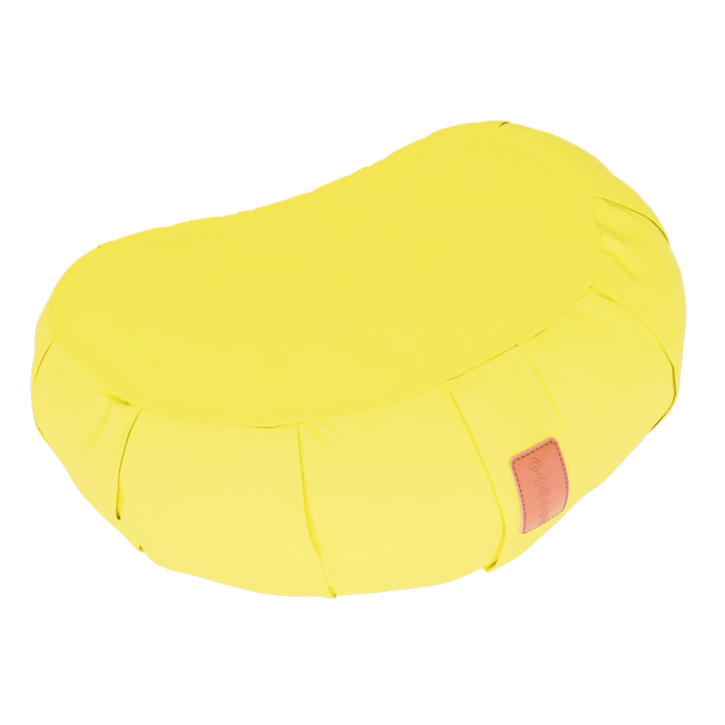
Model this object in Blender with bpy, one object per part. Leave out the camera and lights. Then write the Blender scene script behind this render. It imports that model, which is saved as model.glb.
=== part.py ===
"""Crescent zafu: a plump kidney-shaped floor cushion with a pleated side band.

Metres, +Z up. The origin is on the floor under the middle of the cushion's box. +X runs along
the cushion, -Y is its round front and +Y its hollow back.

A place round the cushion is its "arc": the distance along the top seam, counterclockwise seen
from above, from the seam's right-hand end. A place down the side band is its "drop": 0 at the
top seam and 1 at the floor.
"""
import math

import bmesh
import bpy
from mathutils import Vector

# Height of the top seam over the floor, and how far the top panel crowns above it.
SEAM_HEIGHT = 0.1530
CROWN = 0.0060

# The top seam is an ellipse that small waves bend into a kidney.
SEAM_WAVES = (
    # waves round the seam, cosine part of x, sine part of x, cosine part of y, sine part of y
    (1, 0.1844, 0.0000, 0.0031, 0.1079),
    (2, 0.0000, -0.0149, 0.0307, 0.0122),
    (3, -0.0067, 0.0000, -0.0033, 0.0057),
    (4, 0.0000, 0.0000, -0.0043, 0.0000),
)
BOX_CENTRE = Vector((0.0092, -0.0244, 0.0))

# The side band bulges past the seam, more at the right and the front, and spreads at its foot.
BULGE = 0.0310
BULGE_RIGHT = 0.0098
BULGE_FRONT = 0.0082
BULGE_ENDS = 0.0013
BULGE_SHAPE = 1.07
BULGE_RISE = 0.70
BULGE_RISE_BACK = 0.60
FOOT_SPREAD = 0.0276
FOOT_SPREAD_BACK = 0.0157
PUFF = 0.0014
PUFF_SPAN = 0.0900

# The cloth draws the top seam in or out of its plain curve, and the band below it eases back.
SEAM_PULLS = (
    # arc, how far the seam stands out
    (0.006, 0.0005),
    (0.040, 0.0000),
    (0.150, 0.0000),
    (0.178, -0.0018),
    (0.206, 0.0000),
    (0.280, 0.0000),
    (0.300, 0.0010),
    (0.325, -0.0004),
    (0.364, -0.0030),
    (0.390, 0.0000),
    (0.455, 0.0000),
    (0.486, -0.0042),
    (0.512, -0.0062),
    (0.526, -0.0054),
    (0.552, -0.0006),
    (0.582, 0.0014),
    (0.605, 0.0025),
    (0.654, 0.0028),
    (0.674, 0.0004),
    (0.713, -0.0009),
    (0.757, -0.0037),
    (0.793, -0.0040),
    (0.822, -0.0007),
    (0.853, 0.0000),
    (0.870, 0.0025),
    (0.897, -0.0002),
    (0.914, -0.0010),
    (0.931, -0.0037),
    (0.951, 0.0005),
    (0.962, 0.0009),
)
PULL_REACH = 0.45

# The pleats: where each fold's edge lies, the way it faces, how far its lip stands up, how deep the
# cloth beside it dips at mid height and at the foot, how far that dip reaches, and how far the fold
# has leaned along the band by its foot, and swayed from that line at mid height.
PLEATS = (
    # arc, faces (-1 to lower arc, 1 to higher arc), lip, depth, foot depth, reach, lean, sway
    (0.0780, -1, 0.0014, 0.0028, 0.0040, 0.013, 0.000, 0.003),
    (0.1780, -1, 0.0014, 0.0028, 0.0038, 0.012, 0.002, -0.003),
    (0.2790, 1, 0.0014, 0.0028, 0.0040, 0.013, -0.003, 0.000),
    (0.3790, 1, 0.0014, 0.0028, 0.0040, 0.013, 0.003, 0.002),
    (0.4760, 1, 0.0014, 0.0024, 0.0040, 0.012, 0.008, 0.000),
    (0.5715, 1, 0.0014, 0.0024, 0.0034, 0.010, -0.036, 0.000),
    (0.6705, 1, 0.0014, 0.0016, 0.0028, 0.007, -0.005, 0.005),
    (0.8030, -1, 0.0003, 0.0000, 0.0000, 0.013, 0.000, 0.000),
    (0.8685, -1, 0.0014, 0.0020, 0.0034, 0.010, -0.005, 0.010),
    (0.9520, -1, 0.0014, 0.0024, 0.0036, 0.012, -0.008, -0.007),
)
FOOT_LIP = 0.50
LIP_REACH = 0.0170
FOLD_WIDTH = 0.0012
LEAN_REACH = 0.0450
FOOT_START = 0.45
FOOT_END = 0.85

# Places where the band is fuller or slacker than its plain form.
SWELLS = (
    # arc, half width, drop, half height as a part of the drop, how far it stands out
    (0.8700, 0.0090, 0.58, 0.14, 0.0045),
    (0.8980, 0.0120, 0.45, 0.16, -0.0026),
    (0.9170, 0.0090, 0.36, 0.14, -0.0016),
    (0.9570, 0.0070, 0.23, 0.10, 0.0010),
    (0.0100, 0.0100, 0.17, 0.10, -0.0028),
    (0.1170, 0.0120, 0.08, 0.08, 0.0012),
    (0.3120, 0.0150, 0.08, 0.08, 0.0016),
    (0.4240, 0.0090, 0.09, 0.08, -0.0018),
    (0.4500, 0.0100, 0.17, 0.12, -0.0034),
    (0.4790, 0.0080, 0.36, 0.10, 0.0016),
    (0.5040, 0.0160, 0.50, 0.20, -0.0044),
    (0.5270, 0.0090, 0.72, 0.12, -0.0034),
    (0.5520, 0.0150, 0.93, 0.14, 0.0044),
    (0.6060, 0.0120, 0.95, 0.12, -0.0008),
    (0.6650, 0.0050, 0.95, 0.10, 0.0016),
    (0.7350, 0.0200, 0.93, 0.16, 0.0038),
    (0.7700, 0.0160, 0.93, 0.14, 0.0032),
    (0.8240, 0.0110, 0.92, 0.20, -0.0042),
)

# Cloth and leather thickness, and the gap that keeps one piece clear of the next.
CLOTH = 0.0018
LEATHER = 0.0016
GAP = 0.0003

# The overlapping end of the band, between its free edge and the pleat that ends it. The body
# sinks under it from the edge's mean arc on.
FLAP_EDGE = 0.7590
FLAP_END = 0.8030
FLAP_PATH = (
    # drop, arc of the free edge, how far that edge lifts
    (0.00, 0.7562, 0.0001),
    (0.12, 0.7580, 0.0006),
    (0.34, 0.7592, 0.0007),
    (0.51, 0.7610, 0.0013),
    (0.62, 0.7618, 0.0024),
    (0.72, 0.7610, 0.0032),
    (0.82, 0.7585, 0.0038),
    (0.90, 0.7550, 0.0036),
    (1.00, 0.7500, 0.0018),
)
FLAP_FOOT_DROP = 0.970

# The leather patch on the flap, long side upright.
PATCH_ARC = 0.7814
PATCH_DROP = 0.410
PATCH_LENGTH = 0.0635
PATCH_WIDTH = 0.0340
PATCH_CORNER = 0.0050

# The groove at each seam, and the edges of the panels that lie in it.
RIM_DROP = 0.0006
GROOVE_WIDTH = 0.0010
PANEL_INSET = 0.0014

# Mesh spacing.
SEAM_SAMPLES = 1440
WALL_ROWS = 14
COLUMN_PITCH = 0.0105
FLAP_ROWS = (1, 12)
FLAP_COLUMNS = (0.0, 0.12, 0.30, 0.50, 0.70, 0.86, 1.0)
FOLD_COLUMNS = (-0.0280, -0.0130, -0.0050, -FOLD_WIDTH, 0.0, 0.0060, 0.0180)
CROWN_RINGS = (0.06, 0.18, 0.36, 0.60, 0.84)
SPINE_REACH = 0.70
PATCH_STEPS = 8

YELLOW = (0.905, 0.800, 0.110, 1.0)
TAN = (0.784, 0.310, 0.175, 1.0)


def seam_point(angle):
    """Plan position of the top seam, before the box is centred."""
    x = sum(xc * math.cos(n * angle) + xs * math.sin(n * angle) for n, xc, xs, yc, ys in SEAM_WAVES)
    y = sum(yc * math.cos(n * angle) + ys * math.sin(n * angle) for n, xc, xs, yc, ys in SEAM_WAVES)
    return Vector((x, y, 0.0))


def seam_lengths():
    """Arc length of the seam at evenly spaced angles."""
    lengths = [0.0]
    previous = seam_point(0.0)
    for step in range(1, SEAM_SAMPLES + 1):
        point = seam_point(math.tau * step / SEAM_SAMPLES)
        lengths.append(lengths[-1] + (point - previous).length)
        previous = point
    return lengths


LENGTHS = seam_lengths()
SEAM_LENGTH = LENGTHS[-1]


def angle_at(arc):
    """Angle of the seam formula at an arc length."""
    arc = arc % SEAM_LENGTH
    low, high = 0, SEAM_SAMPLES
    while high - low > 1:
        middle = (low + high) // 2
        if LENGTHS[middle] <= arc:
            low = middle
        else:
            high = middle
    part = (arc - LENGTHS[low]) / (LENGTHS[high] - LENGTHS[low])
    return math.tau * (low + part) / SEAM_SAMPLES


def arc_gap(arc, place):
    """Signed distance from a place to an arc, the short way round."""
    return (arc - place + SEAM_LENGTH / 2) % SEAM_LENGTH - SEAM_LENGTH / 2


def seam_pull(arc):
    """How far the top seam stands out from its plain curve."""
    arc = (arc - SEAM_PULLS[0][0]) % SEAM_LENGTH + SEAM_PULLS[0][0]
    closing = (SEAM_PULLS[0][0] + SEAM_LENGTH, SEAM_PULLS[0][1])
    for before, after in zip(SEAM_PULLS, SEAM_PULLS[1:] + (closing,)):
        if arc <= after[0]:
            part = smooth_step(before[0], after[0], arc)
            return before[1] + (after[1] - before[1]) * part
    return closing[1]


def seam_frame(arc):
    """Seam point, its outward direction in plan and the formula's angle."""
    angle = angle_at(arc)
    step = 1e-4
    along = seam_point(angle + step) - seam_point(angle - step)
    outward = Vector((along.y, -along.x, 0.0)).normalized()
    return seam_point(angle) - BOX_CENTRE + outward * seam_pull(arc), outward, angle


def smooth_step(low, high, value):
    """0 below low, 1 above high and an even ease between."""
    part = min(max((value - low) / (high - low), 0.0), 1.0)
    return part * part * (3.0 - 2.0 * part)


def along_path(path, column, drop):
    """One column of a path table at any drop."""
    for before, after in zip(path, path[1:]):
        if drop <= after[0]:
            part = (drop - before[0]) / (after[0] - before[0])
            return before[column] + (after[column] - before[column]) * part
    return path[-1][column]


def profile(angle, drop):
    """Outward reach and height of the smooth side band."""
    back = smooth_step(-0.74, 0.74, math.sin(angle))
    bulge = BULGE + BULGE_RIGHT * math.cos(angle) - BULGE_FRONT * math.sin(angle)
    bulge += BULGE_ENDS * math.cos(2.0 * angle)
    rise = BULGE_RISE + (BULGE_RISE_BACK - BULGE_RISE) * back
    spread = FOOT_SPREAD + (FOOT_SPREAD_BACK - FOOT_SPREAD) * back
    swell = max(math.sin(math.pi * drop ** rise), 0.0) ** BULGE_SHAPE
    return bulge * swell + spread * drop, SEAM_HEIGHT * (1.0 - drop)


def fold_relief(arc, drop):
    """Lip and dip that the pleats raise on the band."""
    relief = 0.0
    foot = smooth_step(FOOT_START, FOOT_END, drop)
    for place, faces, lip, depth, foot_depth, reach, lean, sway in PLEATS:
        side = -faces * arc_gap(arc, place)
        if side >= 0.0:
            relief += (lip + FOOT_LIP * foot_depth * foot) * math.exp(-side / LIP_REACH)
        else:
            relief -= (depth + (foot_depth - depth) * foot) * math.exp((side + FOLD_WIDTH) / reach)
    return relief


def puff_relief(arc):
    """Cloth swelling between one fold and the next."""
    places = sorted([pleat[0] for pleat in PLEATS] + [FLAP_EDGE])
    for low, high in zip(places, places[1:] + [places[0] + SEAM_LENGTH]):
        part = (arc - low) % SEAM_LENGTH / (high - low)
        if part < 1.0:
            return PUFF * math.sin(math.pi * part) ** 2 * (high - low) / PUFF_SPAN
    return 0.0


def flap_seat(arc):
    """How far the body sinks under the flap, so that the flap's sewn side lies flush."""
    part = arc_gap(arc, FLAP_EDGE) / (FLAP_END - FLAP_EDGE)
    if not -1e-6 <= part <= 1.0 - 1e-6:
        return 0.0
    return (CLOTH + 2 * GAP) * smooth_step(0.1, 0.9, part)


def lean_shift(arc, drop):
    """How far the folds near an arc have leaned along the band."""
    total = 0.0
    for place, faces, lip, depth, foot_depth, reach, lean, sway in PLEATS:
        near = math.exp(-(arc_gap(arc, place) / LEAN_REACH) ** 2)
        total += near * (lean * drop + sway * math.sin(math.pi * drop))
    return total


def swell_relief(arc, drop):
    """Fuller and slacker places of the band."""
    total = 0.0
    for place, half_width, middle, half_height, out in SWELLS:
        across = arc_gap(arc, place) / half_width
        down = (drop - middle) / half_height
        total += out * math.exp(-0.7 * (across ** 2 + down ** 2))
    return total


def wall_point(arc, drop, lift=0.0):
    """Point on the side band, lifted off it along its own outward direction."""
    leaned = arc + lean_shift(arc, drop)
    seam, outward, angle = seam_frame(leaned)
    reach, height = profile(angle, drop)
    reach -= seam_pull(leaned) * smooth_step(0.0, PULL_REACH, drop)
    step = 0.002
    reach_above, height_above = profile(angle, max(drop - step, 0.0))
    reach_below, height_below = profile(angle, min(drop + step, 1.0))
    slope = Vector((height_above - height_below, reach_below - reach_above)).normalized()
    foot = 1.0 - smooth_step(0.95, 1.0, drop)
    relief = (fold_relief(arc, drop) + puff_relief(arc)) * smooth_step(0.0, 0.16, drop) * foot
    relief += swell_relief(leaned, drop) * smooth_step(0.0, 0.05, drop) * foot
    raised = relief - flap_seat(arc) * foot + lift
    return seam + outward * (reach + raised * slope.x) + Vector((0.0, 0.0, height + raised * slope.y))


def wall_drops():
    """Drops of the band's rows, closer together at the seam and the foot."""
    return [0.5 - 0.5 * math.cos(math.pi * row / WALL_ROWS) for row in range(WALL_ROWS + 1)]


def column_arcs():
    """Arcs of the mesh columns: close together at each fold, evenly spread between folds."""
    arcs = []
    for place, faces, lip, depth, foot_depth, reach, lean, sway in PLEATS:
        arcs += [(place - faces * offset) % SEAM_LENGTH for offset in FOLD_COLUMNS]
    arcs += [FLAP_EDGE, FLAP_EDGE + 0.006]
    arcs.sort()
    spread = []
    for arc, following in zip(arcs, arcs[1:] + [arcs[0] + SEAM_LENGTH]):
        pieces = max(1, math.ceil((following - arc) / COLUMN_PITCH))
        spread += [arc + (following - arc) * piece / pieces for piece in range(pieces)]
    return spread


def inset_ring(arcs, inset, height):
    """Ring of points a little inside the seam, at one height."""
    ring = []
    for arc in arcs:
        seam, outward, angle = seam_frame(arc)
        ring.append(seam - outward * inset + Vector((0.0, 0.0, height)))
    return ring


def spine_point(seam):
    """Point of the kidney's middle line that a seam point closes on."""
    reach = SEAM_WAVES[0][1]
    bend = SEAM_WAVES[1][3]
    x = (seam.x + BOX_CENTRE.x) * SPINE_REACH
    y = bend * (2.0 * (x / reach) ** 2 - 1.0)
    return Vector((x, y, 0.0)) - BOX_CENTRE


def crown_ring(arcs, part, inset, sink):
    """Ring of the crowned top, a part of the way from the seam to the middle line."""
    ring = []
    for arc in arcs:
        seam, outward, angle = seam_frame(arc)
        edge = seam - outward * inset
        point = edge.lerp(spine_point(seam), part)
        height = SEAM_HEIGHT + CROWN * (1.0 - (1.0 - part) ** 2) - sink
        ring.append(Vector((point.x, point.y, height)))
    return ring


def link_object(name, mesh, material):
    """Puts a mesh in the scene as a named sub-part."""
    mesh.shade_smooth()
    mesh.set_sharp_from_angle(angle=math.radians(40))
    mesh.materials.append(material)
    piece = bpy.data.objects.new(name, mesh)
    bpy.context.scene.collection.objects.link(piece)
    return piece


def loft(name, rings, material):
    """Closed solid through rings of points, from its top cap to its bottom cap."""
    work = bmesh.new()
    loops = [[work.verts.new(point) for point in ring] for ring in rings]
    count = len(rings[0])
    work.faces.new(loops[0])
    work.faces.new(reversed(loops[-1]))
    for upper, lower in zip(loops, loops[1:]):
        for index in range(count):
            after = (index + 1) % count
            work.faces.new((upper[index], lower[index], lower[after], upper[after]))
    bmesh.ops.recalc_face_normals(work, faces=work.faces)
    mesh = bpy.data.meshes.new(name)
    work.to_mesh(mesh)
    work.free()
    return link_object(name, mesh, material)


def sheet(name, outer, inner, material):
    """Closed sheet between an outer and an inner grid of points."""
    work = bmesh.new()
    rows = len(outer)
    columns = len(outer[0])
    front = [[work.verts.new(point) for point in row] for row in outer]
    back = [[work.verts.new(point) for point in row] for row in inner]
    for row in range(rows - 1):
        for column in range(columns - 1):
            corners = ((row, column), (row + 1, column), (row + 1, column + 1), (row, column + 1))
            work.faces.new([front[r][c] for r, c in corners])
            work.faces.new([back[r][c] for r, c in reversed(corners)])
    border = [(0, column) for column in range(columns)]
    border += [(row, columns - 1) for row in range(1, rows)]
    border += [(rows - 1, column) for column in range(columns - 2, -1, -1)]
    border += [(row, 0) for row in range(rows - 2, 0, -1)]
    for (r0, c0), (r1, c1) in zip(border, border[1:] + border[:1]):
        work.faces.new((front[r0][c0], front[r1][c1], back[r1][c1], back[r0][c0]))
    bmesh.ops.recalc_face_normals(work, faces=work.faces)
    mesh = bpy.data.meshes.new(name)
    work.to_mesh(mesh)
    work.free()
    return link_object(name, mesh, material)


def make_material(name, colour, roughness):
    """Plain Principled material."""
    material = bpy.data.materials.new(name)
    material.use_nodes = True
    shader = material.node_tree.nodes["Principled BSDF"]
    shader.inputs["Base Color"].default_value = colour
    shader.inputs["Roughness"].default_value = roughness
    shader.inputs["Metallic"].default_value = 0.0
    return material


def make_body(arcs, material):
    """Filled cushion: a seat for the top panel, the pleated band and a seat for the bottom panel."""
    seat = CLOTH + GAP + RIM_DROP
    rings = [crown_ring(arcs, part, GROOVE_WIDTH, seat) for part in reversed(CROWN_RINGS)]
    rings.append(inset_ring(arcs, GROOVE_WIDTH, SEAM_HEIGHT - seat))
    rings += [[wall_point(arc, drop) for arc in arcs] for drop in wall_drops()]
    for point in rings[len(CROWN_RINGS) + 1]:
        point.z -= RIM_DROP
    rings.append(inset_ring(arcs, 0.0, 0.0))
    rings.append(inset_ring(arcs, GAP, CLOTH + GAP))
    return loft("pleated_body", rings, material)


def make_top_panel(arcs, material):
    """Kidney of cloth that lies on the crown."""
    under = CLOTH + RIM_DROP
    rings = [crown_ring(arcs, part, PANEL_INSET, RIM_DROP) for part in reversed(CROWN_RINGS)]
    rings.append(inset_ring(arcs, PANEL_INSET + CLOTH / 2, SEAM_HEIGHT - RIM_DROP))
    rings.append(inset_ring(arcs, PANEL_INSET, SEAM_HEIGHT - RIM_DROP - CLOTH / 2))
    rings.append(inset_ring(arcs, PANEL_INSET, SEAM_HEIGHT - under))
    rings += [crown_ring(arcs, part, PANEL_INSET, under) for part in CROWN_RINGS]
    return loft("top_panel", rings, material)


def make_bottom_panel(arcs, material):
    """Kidney of cloth that lies on the floor."""
    rings = [inset_ring(arcs, 2 * GAP, height) for height in (CLOTH, 0.0)]
    return loft("bottom_panel", rings, material)


def flap_lift(arc, drop):
    """How far the flap stands off the body: more at its free edge and towards its foot."""
    edge = along_path(FLAP_PATH, 1, drop)
    free = min(max((FLAP_END - arc) / (FLAP_END - edge), 0.0), 1.0) ** 1.5
    return GAP + along_path(FLAP_PATH, 2, drop) * free


def make_flap(material):
    """Overlapping end of the band, from its free edge to the pleat that ends it."""
    last = FLAP_END - FOLD_WIDTH - GAP
    outer, inner = [], []
    for drop in wall_drops()[FLAP_ROWS[0]:FLAP_ROWS[1] + 1] + [FLAP_FOOT_DROP]:
        edge = along_path(FLAP_PATH, 1, drop)
        spots = [edge + (last - edge) * part for part in FLAP_COLUMNS]
        inner.append([wall_point(arc, drop, flap_lift(arc, drop)) for arc in spots])
        outer.append([wall_point(arc, drop, flap_lift(arc, drop) + CLOTH) for arc in spots])
    return sheet("band_overlap", outer, inner, material)


def make_patch(material):
    """Leather rectangle with round corners, lying on the flap."""
    centre = wall_point(PATCH_ARC, PATCH_DROP)
    step = 0.002
    per_arc = (wall_point(PATCH_ARC + step, PATCH_DROP) - centre).length / step
    lift = GAP + CLOTH
    outer, inner = [], []
    for row in range(2 * PATCH_STEPS + 1):
        along = -math.cos(math.pi * row / (2 * PATCH_STEPS)) * PATCH_LENGTH / 2
        drop = drop_below(PATCH_ARC, PATCH_DROP, along)
        over = max(abs(along) - (PATCH_LENGTH / 2 - PATCH_CORNER), 0.0)
        half = PATCH_WIDTH / 2 - PATCH_CORNER + math.sqrt(max(PATCH_CORNER ** 2 - over ** 2, 0.0))
        arcs = [PATCH_ARC + half / per_arc * column / PATCH_STEPS
                for column in range(-PATCH_STEPS, PATCH_STEPS + 1)]
        lifts = [lift + flap_lift(arc, drop) for arc in arcs]
        inner.append([wall_point(arc, drop, rise) for arc, rise in zip(arcs, lifts)])
        outer.append([wall_point(arc, drop, rise + LEATHER) for arc, rise in zip(arcs, lifts)])
    return sheet("leather_patch", outer, inner, material)


def drop_below(arc, drop, distance):
    """Drop that lies a distance further down the band."""
    steps = 20
    for _ in range(steps):
        speed = (wall_point(arc, drop + 0.001) - wall_point(arc, drop - 0.001)).length / 0.002
        drop += distance / steps / speed
    return drop


def main():
    """Clears the scene and builds every piece of the cushion."""
    for item in list(bpy.data.objects):
        bpy.data.objects.remove(item, do_unlink=True)
    arcs = column_arcs()
    make_body(arcs, make_material("band cotton", YELLOW, 0.85))
    make_top_panel(arcs, make_material("top cotton", YELLOW, 0.85))
    make_bottom_panel(arcs, make_material("bottom cotton", YELLOW, 0.85))
    make_flap(make_material("flap cotton", YELLOW, 0.85))
    make_patch(make_material("tan leather", TAN, 0.45))


main()
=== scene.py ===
"""Looks of the crescent zafu: a pleated side band, two kidney panels, an overlap and a leather patch.

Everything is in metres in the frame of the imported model: +X along the cushion, -Y its round front.
A place round the cushion is its "arc", the distance along the top seam, counterclockwise seen from
above, from the seam's right-hand end. A place down the side band is its "drop": 0 at the top seam,
1 at the floor. "Lift" is height off the plain band along its own outward direction. A pair of drops
or of parts is the stretch over which something fades in or out.
"""

import math
from collections import namedtuple

import bpy
import numpy as np
from mathutils import Matrix, Vector

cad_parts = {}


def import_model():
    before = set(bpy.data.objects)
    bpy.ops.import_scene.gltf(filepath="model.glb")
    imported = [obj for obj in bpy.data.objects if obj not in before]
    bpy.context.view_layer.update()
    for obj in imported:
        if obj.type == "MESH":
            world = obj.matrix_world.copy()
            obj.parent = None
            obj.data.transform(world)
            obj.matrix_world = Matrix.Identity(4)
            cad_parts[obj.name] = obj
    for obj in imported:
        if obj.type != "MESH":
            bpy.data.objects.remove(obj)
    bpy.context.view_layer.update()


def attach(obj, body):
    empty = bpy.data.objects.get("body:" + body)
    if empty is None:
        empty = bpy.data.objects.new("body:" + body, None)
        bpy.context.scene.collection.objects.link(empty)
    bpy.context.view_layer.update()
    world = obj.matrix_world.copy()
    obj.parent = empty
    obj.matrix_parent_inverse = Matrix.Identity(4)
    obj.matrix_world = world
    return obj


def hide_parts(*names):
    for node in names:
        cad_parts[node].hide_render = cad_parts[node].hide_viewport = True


MM = 0.001

# The plain form, as in the solids: seam, crown and the side band's section.
SEAM_HEIGHT = 0.1530
CROWN = 0.0060
SEAM_WAVES = (
    # waves round the seam, cosine part of x, sine part of x, cosine part of y, sine part of y
    (1, 0.1844, 0.0000, 0.0031, 0.1079),
    (2, 0.0000, -0.0149, 0.0307, 0.0122),
    (3, -0.0067, 0.0000, -0.0033, 0.0057),
    (4, 0.0000, 0.0000, -0.0043, 0.0000),
)
BOX_CENTRE = np.array((0.0092, -0.0244))
SEAM_STEPS = 7200

# The cloth draws the top seam in or out of its plain curve, and the band below it eases back.
SEAM_PULLS = (
    # arc, how far the seam stands out in mm, how deep its groove is in mm
    (0.006, 0.5, 0.35), (0.040, 0.0, 0.50), (0.150, 0.0, 0.50), (0.178, -1.8, 0.70), (0.206, 0.0, 0.50),
    (0.280, 0.0, 0.60), (0.300, 1.0, 0.45), (0.325, -0.4, 0.45), (0.364, -3.0, 0.60), (0.390, 0.0, 0.60),
    (0.455, 0.0, 0.40), (0.473, -1.6, 0.55), (0.486, -4.2, 0.30), (0.499, -5.7, 0.20), (0.512, -6.2, 0.12),
    (0.526, -5.4, 0.10), (0.536, -3.2, 0.12), (0.552, -0.6, 0.55), (0.565, 1.0, 0.60), (0.582, 1.4, 0.40),
    (0.605, 2.5, 0.25), (0.636, 2.0, 0.35), (0.654, 2.9, 0.90), (0.664, 1.5, 0.55), (0.674, 0.4, 0.35),
    (0.690, -0.4, 0.12), (0.713, -0.9, 0.22), (0.735, -2.1, 0.30), (0.743, -2.7, 0.60), (0.757, -3.7, 0.60),
    (0.793, -4.0, 0.60), (0.803, -3.4, 0.40), (0.812, -2.1, 0.25), (0.822, -0.7, 0.60), (0.834, -0.2, 0.20),
    (0.843, 0.0, 0.50), (0.850, 0.0, 0.35), (0.862, 1.8, 0.70), (0.870, 2.5, 0.60), (0.883, 1.6, 0.45),
    (0.897, -0.2, 0.30), (0.914, -1.0, 0.15), (0.923, -3.0, 0.15), (0.931, -3.7, 0.22), (0.940, -1.7, 0.30),
    (0.951, 0.5, 0.30), (0.962, 0.9, 0.35),
)
PULL_REACH = 0.45
PULL_STEPS = 980
SOFTENING = 13
PATH_STEPS = 700

# The side band: its bulge on the right, at the front and at the ends, and its spread at the foot.
BULGE = 0.0310
BULGE_RIGHT = 0.0098
BULGE_FRONT = 0.0082
BULGE_ENDS = 0.0013
BULGE_SHAPE = 1.07
BULGE_RISE = 0.70
BULGE_RISE_BACK = 0.60
BACK_BLEND = 0.74
FOOT_SPREAD = 0.0276
FOOT_SPREAD_BACK = 0.0157
FOOT_START = 0.945
FOOT_INWARD = 9 * MM
FLOOR_DROP = 1.12
FOOT_LIFT = 0.4 * MM
FOOT_LIFT_SHARE = 0.35
UNDER_THE_FOOT = (0.97, 1.0)
DROP_STEPS = 1120
FRONT_ARC = 0.68
SPINE_REACH = 0.70
CLOTH = 0.0018
LEATHER = 0.0016
GAP = 0.0003
BAND_INSET = 0.3 * MM
SEAT_DEPTH = CLOTH + GAP + 1.4 * MM
SEAT_PARTS = (0.0, 0.05, 0.3, 0.7, 0.94)

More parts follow.
